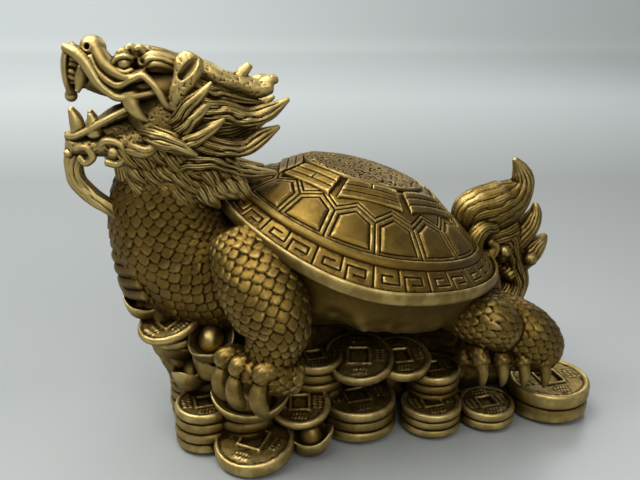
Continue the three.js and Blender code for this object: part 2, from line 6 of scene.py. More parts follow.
import bpy
import numpy as np
import openvdb as vdb
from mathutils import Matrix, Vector


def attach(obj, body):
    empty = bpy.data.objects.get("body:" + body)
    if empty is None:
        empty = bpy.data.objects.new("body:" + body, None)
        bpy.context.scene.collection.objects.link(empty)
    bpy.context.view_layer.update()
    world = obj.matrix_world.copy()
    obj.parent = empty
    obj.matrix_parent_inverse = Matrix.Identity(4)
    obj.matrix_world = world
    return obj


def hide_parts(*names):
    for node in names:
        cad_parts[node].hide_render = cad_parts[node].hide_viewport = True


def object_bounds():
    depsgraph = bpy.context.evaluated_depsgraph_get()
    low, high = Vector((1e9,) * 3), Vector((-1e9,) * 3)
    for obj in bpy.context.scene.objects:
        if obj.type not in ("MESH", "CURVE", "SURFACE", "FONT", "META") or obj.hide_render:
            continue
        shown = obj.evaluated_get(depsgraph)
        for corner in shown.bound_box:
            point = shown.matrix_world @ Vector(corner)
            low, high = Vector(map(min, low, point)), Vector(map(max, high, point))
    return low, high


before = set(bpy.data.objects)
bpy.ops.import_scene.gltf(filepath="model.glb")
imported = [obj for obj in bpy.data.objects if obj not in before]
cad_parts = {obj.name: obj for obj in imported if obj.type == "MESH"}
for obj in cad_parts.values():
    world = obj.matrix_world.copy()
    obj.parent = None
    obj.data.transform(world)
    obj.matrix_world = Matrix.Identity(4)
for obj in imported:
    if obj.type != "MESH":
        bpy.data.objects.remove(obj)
CAD_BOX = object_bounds()

# Driving sizes
SHELL_LENGTH = 190.0
SHELL_WIDTH = 178.0
SHELL_HALF = (SHELL_LENGTH + SHELL_WIDTH) / 4  # mean distance from the crown to the rim, seen from above
SHELL_RISE = 57.0
SHELL_TILT = 9.7  # degrees, rear end down
CROWN_LEAN = 6.5  # degrees that the crown leans back beyond the rim
SHELL_SADDLE = 27.0  # how far the rim lifts over the neck
SHELL_MIDDLE = (0.0, 22.5, 105.0)
BEAD_HEIGHT = 1.5
SCUTES = 16
SCUTE_RELIEF = 0.75
SCUTE_FRAME = 3.1  # from the groove round a plate to the groove round its pillow
GROOVE_WIDTH = 1.25
GROOVE_DEPTH = 1.0
FRET_WIDTH = 1.4
SKIRT_FOLDS = 22
SKIRT_RUFFLE = 0.012  # as a share of the shell's half length
SLABS = 8
SLAB_INNER = 2.3  # how far a slab stands out at its inner edge
SLAB_OUTER = 0.8
SLAB_BAR = 4.2
SLAB_GROOVE = (1.0, 0.7)  # width and depth of the grooves between a slab's bars
SLAB_BREAK = (1.1, 0.8)  # the same for the gap in a broken bar
SLAB_RING_WIDE = 0.91  # the ring of slabs as a share of a round one
SLAB_RING_LONG = 1.11
SLAB_RING_BACK = 1.0  # how far it lies behind the shell's middle
DISC_RADIUS = 38.5
DISC_THICKNESS = 2.4
DISC_CROWN = 5.6
DISC_FORWARD = 3.0
DISC_NARROW = 0.86  # the disc's width as a share of its length
DISC_PIT = (0.5, 1.25)  # depth and size of its stipple
COIN_RADIUS = 19.0
COIN_THICKNESS = 7.2
COIN_HOLE = 10.0
COIN_RIM = 3.6  # width of the raised rim and its slope
COIN_RECESS = 1.2  # how deep a coin's face lies under the stack's full height
INGOT_LENGTH = 44.0
INGOT_WIDTH = 24.0
INGOT_HEIGHT = 18.0
PIT_SIZE = 0.95  # of punched dots
THINNEST = 0.25  # the least half width of a limb
FULL_RELIEF_GIRTH = 4.0  # a limb with a smaller half width than this carries less relief
HEAD_COCK = 0.15  # the head leans to its far side: x times this is how much lower it lies

CAD_LOW_CORNER = np.array([-94.39, -149.09, 0.0])  # of the CAD solid, in the figure's own axes
VOXEL = 0.47
MOST_FACES = 190000
ACROSS = np.array([1.0, 0.0, 0.0])
ALONG = np.array([0.0, 1.0, 0.0])


def placed_in_frame(points):
    low = np.array(CAD_BOX[0]) * 1000
    return (points + low - CAD_LOW_CORNER) / 1000


# Small helpers


def unit(vectors):
    return vectors / np.maximum(np.linalg.norm(vectors, axis=-1, keepdims=True), 1e-9)


def smoothstep(low, high, value):
    t = np.clip((value - low) / (high - low), 0, 1)
    return t * t * (3 - 2 * t)


def catmull(points, count):
    """That many points on a smooth curve through `points`, evenly spread from one point to the next."""
    at = np.linspace(0, len(points) - 1.0, count)
    ends = np.vstack([2 * points[0] - points[1], points, 2 * points[-1] - points[-2]])
    i = np.minimum(at.astype(int), len(points) - 2)
    t = (at - i)[:, None]
    a, b, c, d = ends[i], ends[i + 1], ends[i + 2], ends[i + 3]
    return 0.5 * (2 * b + (c - a) * t + (2 * a - 5 * b + 4 * c - d) * t**2 + (3 * b - a - 3 * c + d) * t**3)


def all_round(length, step):
    """Angles round a closed line of that length, so many that they lie about a step apart."""
    return np.linspace(0, 2 * np.pi, int(length / step), endpoint=False)


def hashed(cells, seed):
    """A fixed random value from -1 to 1 for each whole-numbered cell."""
    mix = cells[..., 0] * 73856093 ^ cells[..., 1] * 19349663 ^ cells[..., 2] * 83492791 ^ (seed * 2654435)
    mix = (mix ^ (mix >> 13)) * 1274126177
    return ((mix ^ (mix >> 16)) & 0xFFFF) / 32767.5 - 1


def noise(points, cell, seed=0):
    """Smooth random values from -1 to 1, in cells of that size."""
    places = points / cell
    base = np.floor(places).astype(np.int64)
    t = places - base
    t = t * t * (3 - 2 * t)
    total = np.zeros(points.shape[:-1])
    for corner in np.ndindex(2, 2, 2):
        share = np.prod(np.where(corner, t, 1 - t), axis=-1)
        total += share * hashed(base + np.array(corner), seed)
    return total


# Reliefs: how far the skin stands out at a place `along` a limb in mm and `turn` round it in radians


def strands(count, depth, sway=0.25):
    """Hair: rounded ridges with sharp valleys, drawn together where the lock is thin."""

    def relief(along, turn, points, girth):
        wander = count * sway * noise(points, 14.0, count) / 2
        fork = 1.1 * noise(points, 6.0, count + 1)
        fine = np.abs(np.sin(count * turn / 2 + wander + fork)) ** 0.7
        broad = np.abs(np.sin((count // 4 + 1) * turn / 2 + wander / 3 + fork)) ** 0.6
        return depth * (0.55 * fine + 0.9 * broad - 1.3) * np.clip(girth / 6, 0.2, 1)

    return relief


def combed(run, spacing=1.8, depth=1.0):
    """Hair lines over a broad form, all along the direction `run`."""
    across_hair = np.cross(unit(np.array(run, float)), ACROSS)

    def relief(along, turn, points, girth):
        phase = points @ across_hair / spacing + 0.8 * noise(points, 9.0, 21)
        ridge = np.abs(np.sin(np.pi * phase))
        return depth * (ridge**0.7 - 1)

    return relief


def scales(length, columns, height):
    """Overlapping scales that point forward along the limb."""

    def relief(along, turn, points, girth):
        along = along + 0.9 * noise(points, 9.0, 41)
        turn = turn + 0.7 / columns * noise(points, 9.0, 42)
        row = np.floor(along / length)
        out = np.full(turn.shape, np.nan)
        for back in (1, 0):
            k = row - back
            v = along / length - k
            place = turn / (2 * np.pi) * columns - 0.5 * (k % 2)
            x = 2 * (place - np.round(place))
            tip = 0.7 * np.sqrt(np.clip(1 - x * x, 0, 1)) + 0.3 * (1 - np.abs(x))
            reach = 0.95 + tip
            near_edge = smoothstep(0, 0.3, reach - v)
            which = np.stack([k, np.round(place), np.zeros(k.shape)], -1).astype(np.int64)
            own = 1 + 0.25 * hashed(which, 7)
            here = height * own * (0.2 + 0.8 * v / reach) * (1 - 0.45 * np.abs(x) ** 3) * near_edge
            out = np.where(np.isnan(out) & (v < reach), here, out)
        return np.nan_to_num(out)

    return relief


def stipple(depth, cell=1.7):
    """Small lumps."""

    def relief(along, turn, points, girth):
        return depth * noise(points, cell, 5)

    return relief


def pitted(depth=0.45):
    """Punched dots."""

    def relief(along, turn, points, girth):
        return -depth * smoothstep(0.2, 0.5, noise(points, PIT_SIZE, 5))

    return relief


def ribs(spacing, depth, reach):
    """Ridges across a limb, up to `reach` mm along it."""

    def relief(along, turn, points, girth):
        ridge = np.abs(np.sin(np.pi * along / spacing))
        return depth * (ridge**0.7 - 1) * smoothstep(reach, reach - 4, along)

    return relief


# Closed skins as (points, quads, triangles)


def skin(rings):
    rows, around, _ = rings.shape
    ring = np.arange(around)
    step = np.roll(ring, -1)
    start = np.arange(rows - 1)[:, None] * around
    quads = np.stack([start + ring, start + step, start + around + step, start + around + ring], -1)
    first, last = rows * around, rows * around + 1
    low = np.stack([np.full(around, first), step, ring], -1)
    high = np.stack([np.full(around, last), ring + (rows - 1) * around, step + (rows - 1) * around], -1)
    points = np.vstack([rings.reshape(-1, 3), rings[0].mean(0), rings[-1].mean(0)])
    return points, quads.reshape(-1, 4), np.vstack([low, high])


def joined(parts):
    starts = np.cumsum([0] + [len(points) for points, _, _ in parts])
    points = np.vstack([part[0] for part in parts])
    quads = np.vstack([part[1] + start for part, start in zip(parts, starts)])
    triangles = np.vstack([part[2] + start for part, start in zip(parts, starts)])
    return points, quads, triangles


def spine(stations):
    """Rings [x, y, z, half width, half depth] along a smooth curve, and how far along it each lies."""
    stations = np.array(stations, float)
    fine = catmull(stations, 40 * len(stations))
    gone = np.concatenate([[0], np.cumsum(np.linalg.norm(np.diff(fine[:, :3], axis=0), axis=1))])
    along = np.linspace(0, gone[-1], max(5, int(gone[-1] / VOXEL)))
    return along, np.column_stack([np.interp(along, gone, fine[:, k]) for k in range(5)])


def with_round_ends(along, centre, size, forward, nose):
    """Adds the rings of two rounded ends, `nose` times as long as the smaller half width there."""
    cap = np.linspace(np.pi / 2, 0, 9)[:-1]
    reach = np.broadcast_to(nose, 2) * size[[0, -1]].min(axis=1)
    head = centre[0] - forward[0] * reach[0] * np.sin(cap)[:, None]
    tail = centre[-1] + forward[-1] * reach[1] * np.sin(cap[::-1])[:, None]
    centre = np.vstack([head, centre, tail])
    size = np.vstack([size[0] * np.cos(cap)[:, None], size, size[-1] * np.cos(cap[::-1])[:, None]])
    forward = np.vstack([np.repeat(forward[:1], len(cap), 0), forward, np.repeat(forward[-1:], len(cap), 0)])
    along = np.concatenate([-reach[0] * np.sin(cap), along, along[-1] + reach[1] * np.sin(cap[::-1])])
    return along, centre, size, forward


def limb(stations, side=ACROSS, relief=None, nose=0.6):
    """A rounded limb through stations [x, y, z, half width along `side`, half depth]."""
    along, rings = spine(stations)
    centre = rings[:, :3]
    size = np.maximum(np.abs(rings[:, 3:]), THINNEST)
    forward = unit(np.gradient(centre, axis=0))
    along, centre, size, forward = with_round_ends(along, centre, size, forward, nose)
    wide = unit(side - forward * (forward @ side)[:, None])
    deep = np.cross(forward, wide)
    around = int(np.clip(2 * np.pi * size.max() / (VOXEL * 0.8), 16, 520))
    turn = np.linspace(0, 2 * np.pi, around, endpoint=False)
    c, s = np.cos(turn)[None, :, None], np.sin(turn)[None, :, None]
    a, b = size[:, 0, None, None], size[:, 1, None, None]
    points = centre[:, None] + wide[:, None] * a * c + deep[:, None] * b * s
    if relief is not None:
        out = unit(wide[:, None] * c / np.maximum(a, 0.3) + deep[:, None] * s / np.maximum(b, 0.3))
        girth = np.sqrt(size[:, :1] * size[:, 1:])
        place = np.broadcast_to(along[:, None], points.shape[:2])
        height = relief(place, np.broadcast_to(turn, points.shape[:2]), points, girth)
        points = points + out * (height * np.clip(girth / FULL_RELIEF_GIRTH, 0, 1))[..., None]
    return skin(points)


def blob(centre, radii, relief=None):
    x, y, z = centre
    a, b, c = radii
    return limb([[x, y, z - c * 0.02, a, b], [x, y, z + c * 0.02, a, b]], relief=relief, nose=c / min(a, b))


def opposite(stations, cock=HEAD_COCK):
    """The same stations on the far side, lowered by the cock."""
    return [[-x, y, z - 2 * x * cock, *rest] for x, y, z, *rest in stations]


def both(stations, cock=HEAD_COCK, **options):
    """A limb and its partner on the far side."""
    return [limb(stations, **options), limb(opposite(stations, cock), **options)]


def both_blobs(centre, *radii):
    return [blob(centre, radii), blob(opposite([centre])[0], radii)]


# Solids as fields of distance to their skin, on one grid


def field(parts, low, shape, voxel):
    points, quads, triangles = joined(parts)
    grid = vdb.FloatGrid.createLevelSetFromPolygons(
        np.ascontiguousarray(points / voxel, np.float32),
        triangles=np.ascontiguousarray(triangles, np.uint32),
        quads=np.ascontiguousarray(quads, np.uint32),
        transform=vdb.createLinearTransform(1.0),
        halfWidth=3,
    )
    values = np.full(shape, grid.background, np.float32)
    grid.copyToArray(values, ijk=low)
    return values


def blurred(values, times):
    for _ in range(times):
        for axis in range(3):
            view = np.moveaxis(values, axis, 0)
            view[1:-1] = 0.25 * (view[:-2] + view[2:]) + 0.5 * view[1:-1]
    return values


def grid_for(points, voxel, margin=5):
    low = np.floor(points.min(axis=0) / voxel).astype(int) - margin
    high = np.ceil(points.max(axis=0) / voxel).astype(int) + margin
    return tuple(int(v) for v in low), tuple(int(v) for v in high - low)


def cast(parts, cuts=(), voxel=VOXEL):
    """One skin over all the parts, less the cuts and what is below the floor, and the grid it came from."""
    low, shape = grid_for(joined(parts)[0], voxel)
    values = field(parts, low, shape, voxel)
    if cuts:
        values = np.maximum(values, -field(list(cuts), low, shape, voxel))
    depth = -(np.arange(shape[2]) + low[2])
    values = np.maximum(values, np.clip(depth, -3, 3).astype(np.float32))
    grid = vdb.FloatGrid(3.0)
    grid.copyFromArray(values, ijk=low)
    points, triangles, quads = grid.convertToPolygons(isovalue=0.0, adaptivity=0.0)
    points = points.astype(float) * voxel
    points[:, 2] = np.maximum(points[:, 2], 0)
    return (points, quads, triangles), (values, low, voxel)


def blender_mesh(name, skin_parts):
    points, quads, triangles = skin_parts
    mesh = bpy.data.meshes.new(name)
    mesh.vertices.add(len(points))
    mesh.vertices.foreach_set("co", placed_in_frame(points).astype(np.float32).ravel())
    corners = np.concatenate([quads.ravel(), triangles.ravel()]).astype(np.int32)
    starts = np.concatenate([np.arange(len(quads)) * 4, len(quads) * 4 + np.arange(len(triangles)) * 3])
    mesh.loops.add(len(corners))
    mesh.loops.foreach_set("vertex_index", corners)
    mesh.polygons.add(len(starts))
    mesh.polygons.foreach_set("loop_start", starts.astype(np.int32))
    mesh.update(calc_edges=True)
    mesh.validate()
    return mesh


def thin_out(thing, share):
    """Keeps that share of the object's triangles."""
    full = thing.data
    thin = thing.modifiers.new("thin", "DECIMATE")
    thin.ratio = share
    thin.use_collapse_triangulate = True
    evaluated = thing.evaluated_get(bpy.context.evaluated_depsgraph_get())
    thinned = bpy.data.meshes.new_from_object(evaluated)
    thing.modifiers.clear()
    thing.data = thinned
    bpy.data.meshes.remove(full)


def new_object(name, data):
    thing = bpy.data.objects.new(name, data)
    bpy.context.scene.collection.objects.link(thing)
    return thing


def add_values(thing, name, values):
    attribute = thing.data.attributes.new(name, "FLOAT", "POINT")
    attribute.data.foreach_set("value", values.astype(np.float32))


def piece(name, made, share=1.0, polish=1.0):
    """An object from a skin and its grid, with its share of the faces and its degree of polish."""
    skin_parts, grid = made
    thing = new_object(name, blender_mesh(name, skin_parts))
    most = int(MOST_FACES * share)
    faces = 2 * len(skin_parts[1]) + len(skin_parts[2])
    if faces > most:
        thin_out(thing, most / faces)
    thing.data.name = name
    thing.data.polygons.foreach_set("use_smooth", np.ones(len(thing.data.polygons), bool))
    add_values(thing, "polish", np.full(len(thing.data.vertices), polish))
    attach(thing, "root")
    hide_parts("dragon_turtle")
    return thing, grid


# Shell: `turn` goes round it from the tail over +X, `share` from the crown out to the rim

DOME_POWER = 1.9
FLAT_CROWN = DISC_RADIUS / (SHELL_LENGTH / 2)
BEAD_INNER = 0.82
BEAD_OUTER = 0.86
BEAD_STEEPNESS = 1.35  # length along the dome there, for one across it
FRET_OUTER = 0.965
SCUTE_SHOULDER = 0.645
SCUTE_APEX = 0.575
SLAB_TURN = 0.3  # of a slab's step, from the tail to the first slab's middle
SLAB_REACH = 0.44  # of a slab's step, from its middle to its end
SLAB_BARS = ["110", "111", "011", "101", "001", "000", "100", "010"]  # whole or broken, inner to outer
SKIRT_TOP = -22  # the lift at which the folds begin
SKIRT_FULL = -42  # and at which they are full
# The rim and the skirt under it, as (share, lift over the dome)
LIP = [
    (0.966, 0.0), (0.969, -0.9), (0.973, 0.3), (0.979, 2.3), (0.989, 3.0), (0.998, 2.2), (1.003, 0.0),
    (1.0, -2.2), (0.99, -4.2), (0.974, -5.8), (0.957, -8.0), (0.943, -11.5), (0.917, -20.0), (0.88, -32.0),
    (0.83, -43.0), (0.75, -52.0), (0.62, -57.0), (0.4, -59.0),
]


def crown_height(share):
    return SHELL_RISE * (1 - np.maximum(share, FLAT_CROWN) ** DOME_POWER)


def on_shell(turn, share, lift):
    front = -np.cos(turn)
    saddle = SHELL_SADDLE * np.maximum(0, front) ** 2 * share**4
    lean = math.tan(math.radians(CROWN_LEAN)) * (SHELL_LENGTH / 2) * front * share * (1 - share**4)
    x = SHELL_WIDTH / 2 * share * np.sin(turn)
    y = -SHELL_LENGTH / 2 * share * front
    z = crown_height(share) + saddle + lean + lift
    tilt = math.radians(SHELL_TILT)
    back, high = y * math.cos(tilt) + z * math.sin(tilt), z * math.cos(tilt) - y * math.sin(tilt)
    return np.stack([x, back, high], -1) + np.array(SHELL_MIDDLE)


def groove(distance, width=GROOVE_WIDTH, depth=GROOVE_DEPTH):
    return -depth * (1 - smoothstep(width * 0.2, width * 0.55, np.abs(distance)))


def to_line(x, y, a, b):
    """Distance from places to the stretch between two points."""
    ax, ay = a
    bx, by = b
    length = (bx - ax) ** 2 + (by - ay) ** 2
    t = np.clip(((x - ax) * (bx - ax) + (y - ay) * (by - ay)) / max(length, 1e-9), 0, 1)
    return np.hypot(x - ax - t * (bx - ax), y - ay - t * (by - ay))


def slope_length(share):
    """Length along the dome from the crown to a share, in mm."""
    steps = np.linspace(0, 1, 400)
    pieces = np.hypot(np.diff(steps) * SHELL_HALF, np.diff(crown_height(steps)))
    return np.interp(share, steps, np.concatenate([[0], np.cumsum(pieces)]))


def plates(turn, share):
    """Plates between the bead and the slabs: grooves round them, and a soft pillow inside a plain frame."""
    step = 2 * np.pi / SCUTES
    place = turn / step
    x = (place - np.round(place)) * step * SHELL_HALF * share
    y = slope_length(share)
    low, shoulder, apex = (slope_length(s) for s in (BEAD_INNER, SCUTE_SHOULDER, SCUTE_APEX))
    side = 0.5 * step * SHELL_HALF * share
    eave = 0.5 * step * SHELL_HALF * SCUTE_SHOULDER
    pitch = math.atan2(shoulder - apex, eave)
    to_side = side - np.abs(x)
    to_roof = (y - apex) * math.cos(pitch) - np.abs(x) * math.sin(pitch)
    inside = np.minimum(np.minimum(to_side, low - y), to_roof)
    bulge = (1 - (x / side) ** 2) * (1 - ((2 * y - apex - low) / (low - apex)) ** 2)
    in_pillow = smoothstep(0, 1.6, inside - SCUTE_FRAME - GROOVE_WIDTH / 2)
    pillow = SCUTE_RELIEF * (0.5 + np.maximum(bulge, 0)) * in_pillow
    lines = np.minimum(groove(to_side), groove(to_roof))
    plate = np.where(to_roof > 0, np.minimum(lines, groove(inside - SCUTE_FRAME)) + pillow, groove(to_roof))
    above = np.where(to_roof < 0, groove(to_roof + SCUTE_FRAME * 0.8), 0)
    return np.where(to_roof > 0, plate, np.minimum(plate, above)) * (share < BEAD_INNER)


def bead(share):
    """A half-round ring between two grooves."""
    middle = (BEAD_INNER + BEAD_OUTER) / 2
    half = (BEAD_OUTER - BEAD_INNER) / 2
    t = np.clip((share - middle) / half, -1, 1)
    ring = BEAD_HEIGHT * np.sqrt(np.maximum(0, 1 - t * t))
    slope = SHELL_LENGTH / 2 * BEAD_STEEPNESS
    edges = np.minimum(groove((share - BEAD_INNER) * slope), groove((share - BEAD_OUTER) * slope))
    return np.where(np.abs(share - middle) < half, ring, edges)


# Strokes of the fret in one scute's step: places are shares of the step and of the border from lip to bead
FRET_STROKES = [
    [(0.0, 0.0), (0.0, 1.0)],
    [(0.45, 1.0), (0.45, 0.33), (0.15, 0.33), (0.15, 0.65), (0.33, 0.65)],
    [(0.55, 0.0), (0.55, 0.68), (0.87, 0.68), (0.87, 0.35), (0.68, 0.35)],
]


def fret(turn, share):
    step = 2 * np.pi / SCUTES
    place = turn / step - 0.5
    u = 1 - (place - np.floor(place))
    wide = step * SHELL_HALF * (BEAD_OUTER + FRET_OUTER) / 2
    high = slope_length(FRET_OUTER) - slope_length(BEAD_OUTER)
    v = (slope_length(FRET_OUTER) - slope_length(share)) / high
    distance = np.full(turn.shape, 99.0)
    for stroke in FRET_STROKES:
        for (ua, va), (ub, vb) in zip(stroke, stroke[1:]):
            for shift in (-1, 0, 1):
                a, b = ((ua + shift) * wide, va * high), ((ub + shift) * wide, vb * high)
                distance = np.minimum(distance, to_line(u * wide, v * high, a, b))
    return np.where((share > BEAD_OUTER) & (share < FRET_OUTER), groove(distance, FRET_WIDTH), 0)


def slabs(x, y):
    """Eight flat slabs round the disc, each of three bars, whole or broken."""
    step = 2 * np.pi / SLABS
    place = np.arctan2(x, y) / step - SLAB_TURN
    k = np.round(place).astype(int)
    local = (place - k) * step
    reach = step * SLAB_REACH
    radius = np.hypot(x, y)
    near = DISC_RADIUS - 0.5
    span = 3 * SLAB_BAR
    out = radius * np.cos(local) - near
    across = radius * np.sin(local)
    end = radius * np.sin(reach - np.abs(local))
    inside = np.minimum(np.minimum(out, span - out), end)
    low, high = crown_height(near / SHELL_HALF), crown_height((near + span) / SHELL_HALF)
    t = out / span
    plane = low + (high - low) * t + SLAB_INNER + (SLAB_OUTER - SLAB_INNER) * t
    dome = (crown_height(radius / SHELL_HALF) + crown_height((near + out) / SHELL_HALF)) / 2
    top = (plane - dome) * smoothstep(-0.1, 0.6, inside)
    for row in (1, 2):
        top = top + groove(out - row * SLAB_BAR, *SLAB_GROOVE) * (inside > 0.3)
    for row in range(3):
        broken = np.array([bars[row] == "0" for bars in SLAB_BARS])[k % SLABS]
        here = (out > row * SLAB_BAR) & (out < (row + 1) * SLAB_BAR) & broken
        top = top + groove(across, *SLAB_BREAK) * (here & (inside > 0.2))
    return np.where(inside > -0.1, top, 0)


def disc(x, y, points):
    """A domed disc with a square edge and a stippled face."""
    radius = np.hypot(x, y)
    edge = DISC_THICKNESS * smoothstep(-0.4, 0.4, DISC_RADIUS - radius)
    crown = DISC_CROWN * (1 - (radius / DISC_RADIUS) ** 2)
    depth, size = DISC_PIT
    pits = -depth * smoothstep(0.1, 0.45, noise(points, size, 3)) * smoothstep(1.0, 1.8, DISC_RADIUS - radius)
    return np.where(radius < DISC_RADIUS + 0.4, edge + np.maximum(crown, 0) + pits, 0)


def skirt_folds(turn, lift, points):
    """Uneven folds in the skin between the shell's lip and the body."""
    wander = 2.5 * noise(points, 30.0, 61)
    folds = np.sin(turn * SKIRT_FOLDS + wander) * (0.8 + noise(points, 24.0, 62))
    lumps = noise(points, 6.0, 63)
    return SKIRT_RUFFLE * (folds + 0.8 * lumps) * smoothstep(SKIRT_TOP, SKIRT_FULL, lift)


def shell():
    turn = all_round(2 * np.pi * SHELL_HALF, VOXEL * 0.95)
    share_steps = np.linspace(0.004, 1, 1200) * FRET_OUTER
    gone = slope_length(share_steps)
    tops = np.interp(np.arange(gone[0], gone[-1], VOXEL * 0.9), gone, share_steps)
    lip = catmull(np.array(LIP), 90)
    shares = np.concatenate([tops, lip[:, 0]])[:, None]
    lifts = np.concatenate([np.zeros(len(tops)), lip[:, 1]])[:, None]
    turns = np.broadcast_to(turn, (len(shares), len(turn)))
    shares = np.broadcast_to(shares, turns.shape)
    lifts = np.broadcast_to(lifts, turns.shape)
    x = SHELL_WIDTH / 2 * shares * np.sin(turns)
    y = SHELL_LENGTH / 2 * shares * np.cos(turns)
    base = on_shell(turns, shares, lifts)
    relief = plates(turns, shares) + bead(shares) + fret(turns, shares)
    slab_ring = slabs(x / SLAB_RING_WIDE, (y - SLAB_RING_BACK) / SLAB_RING_LONG)
    raised = np.maximum(slab_ring, disc(x / DISC_NARROW, y + DISC_FORWARD, base))
    relief = np.where(raised > 0.02, raised, relief)
    relief = np.where(lifts == 0, relief, 0)
    wear = 0.1 * noise(base, 5.0, 8) + 0.05 * noise(base, 1.4, 9)
    rings = on_shell(turns, shares + skirt_folds(turns, lifts, base), lifts + relief + wear * (lifts == 0))
    return skin(rings), None


# Body, neck, legs and tail

BODY = [[0, -60, 98, 36, 26], [0, -20, 90, 44, 30], [0, 50, 80, 44, 28], [0, 104, 70, 42, 26]]
CORE = [[0, -50, 40, 26, 26], [0, 10, 42, 18, 24], [0, 60, 40, 22, 24], [0, 110, 34, 30, 24]]
NECK = [
    [0, -50, 94, 42, 36], [0, -72, 104, 37, 42], [0, -88, 120, 32, 38], [0, -93, 143, 28, 34],
    [0, -87, 168, 25, 27],
]
FORELEG = [
    [38, -58, 132, 10, 17], [48, -55, 122, 13, 20.5], [57, -51, 111, 16, 22.5], [64, -47, 98, 17, 21.5],
    [68, -45, 87, 16, 18.5], [69, -47, 77, 14, 14.5], [69, -50, 66, 13, 13],
]
FOREPAW = [[74, -36, 59, 9, 9.5], [72, -48, 62, 13, 11], [69, -61, 66, 12, 8]]
KNEE = [[38, 74, 74, 14, 12], [52, 82, 71, 16, 15], [61, 92, 68, 16, 16], [64, 101, 62, 13, 13]]
HAUNCH = [
    [32, 86, 66, 16, 14], [46, 103, 62, 18, 18], [57, 117, 55, 18, 19], [60, 127, 46, 15, 17],
    [58, 131, 38, 12, 13],
]
HINDPAW = [[52, 80, 46, 11, 9], [58, 96, 45, 12, 10], [58, 116, 42, 12, 10], [54, 130, 38, 10, 9]]
BELLY_BANDS = 8
FORE_TOES = [(57, -72, -1), (69, -66, 1), (80, -55, 3)]
HIND_TOES = [(82, 50), (96, 48), (111, 45), (126, 42)]
TAIL_STEM = [
    [0, 96, 60, 15, 16], [0, 128, 50, 14, 13], [0, 142, 62, 11, 10], [0, 139, 80, 10, 9],
    [0, 132, 98, 10, 12],
]
TAIL_FLAMES = [
    [[0, 102, 106, 9, 9], [0, 106, 118, 13, 15], [0, 120, 121, 14, 17], [0, 133, 126, 12, 15],
     [0, 141, 136, 8, 9], [0, 139, 145, 5, 6], [0, 134, 153, 1.5, 2]],
    [[0, 126, 88, 10, 9], [0, 140, 96, 9, 9.5], [0, 149, 105, 7.5, 8.5], [0, 153, 113, 5, 5.5],
     [0, 153, 120, 2, 2.2]],
    [[0, 134, 72, 10, 8], [0, 146, 80, 8.5, 9], [0, 154, 86, 7.5, 8.5], [0, 160, 92, 5, 5.5],
     [0, 163, 96, 2.2, 2.6]],
]
TAIL_CURL = [
    [8, 118, 110, 5, 5.5], [12, 108, 111, 5.5, 6], [14, 102, 104, 5.5, 6], [14, 104, 95, 5, 5],
    [14, 112, 92, 4.4, 4.4], [14, 117, 97, 3.6, 3.8], [14, 113, 102, 2.4, 2.6],
]
TAIL_ROOT = [[0, 108, 100, 9, 10], [0, 122, 101, 11, 11], [0, 136, 104, 9, 10]]
TAIL_KNOBS = [((13, 125, 93), 4.2), ((11, 147, 84), 4.5)]


def fore_toe(x, y, spread):
    """A thick scaly finger that bends over its knuckle, and the claw that hangs from it."""
    finger = [
        [x - spread, y + 15, 64, 5.0, 5.0],
        [x, y + 6, 69, 5.0, 5.0],
        [x + 1.5, y, 69, 5.4, 5.4],
        [x + 2, y - 2.5, 65.5, 4.6, 4.6],
    ]
    claw = [
        [x + 2, y - 2, 64, 3.8, 3.8],
        [x + 4, y - 4.5, 58, 4.6, 4.8],
        [x + 4.5, y - 4.5, 52, 4.5, 4.8],
        [x + 3.5, y - 2, 46, 3.6, 4.2],
        [x + 2, y, 42, 2.0, 2.4],
    ]
    return finger, claw


def hind_toe(y, z):
    toe = [[56, y, z + 3, 5.4, 5.4], [66, y, z + 3, 5.2, 5.0], [72, y, z - 2, 5.0, 5.0]]
    claw = [
        [72, y, z - 2, 4.2, 4.2],
        [75, y, z - 8, 3.4, 3.6],
        [75, y, z - 14, 2.2, 2.6],
        [74, y, z - 18, 0.8, 1.0],
    ]
    return toe, claw


def belly_bands():
    """Smooth bands across the front of the neck."""
    parts = []
    for k in range(BELLY_BANDS):
        t = k / (BELLY_BANDS - 1)
        y = -118.5 - 6.5 * math.sin(math.pi * (0.1 + 0.8 * t))
        z = 92 + 54 * t
        stations = [[-18, y + 9, z + 3, 3.6, 4.4], [0, y, z - 1, 4, 4.6], [18, y + 9, z + 3, 3.6, 4.4]]
        parts.append(limb(stations, side=ALONG))
    return parts


SCALED_LIMBS = [
    (FORELEG, scales(4.0, 17, 1.9)),
    (FOREPAW, scales(4.0, 11, 1.7)),
    (KNEE, scales(3.7, 18, 1.7)),
    (HAUNCH, scales(3.3, 22, 1.5)),
    (HINDPAW, scales(3.8, 12, 1.6)),
]


def body_parts():
    parts = [limb(BODY), limb(CORE, relief=stipple(1.6, 4.0)), limb(NECK[::-1], relief=scales(3.8, 30, 1.6))]
    parts += belly_bands()
    for stations, relief in SCALED_LIMBS:
        parts += both(stations, 0, relief=relief)
    for x, y, spread in FORE_TOES:
        finger, claw = fore_toe(x, y, spread)
        parts += both(finger, 0, relief=scales(3.2, 8, 1.2)) + both(claw, 0, relief=pitted(0.25))
    for y, z in HIND_TOES:
        toe, claw = hind_toe(y, z)
        parts += both(toe, 0, side=ALONG, relief=scales(3.6, 8, 1.2)) + both(claw, 0, side=ALONG)
    return parts


def tail_parts():
    parts = [limb(TAIL_STEM, relief=strands(34, 1.5)), limb(TAIL_ROOT, relief=strands(30, 1.5))]
    parts += [limb(flame, relief=strands(60, 1.1, 0.07)) for flame in TAIL_FLAMES]
    parts += both(TAIL_CURL, 0, relief=strands(16, 1.2))
    for (x, y, z), radius in TAIL_KNOBS:
        parts += [blob((sign * x, y, z), (radius,) * 3, strands(10, 0.8)) for sign in (1, -1)]
    return parts


# Head

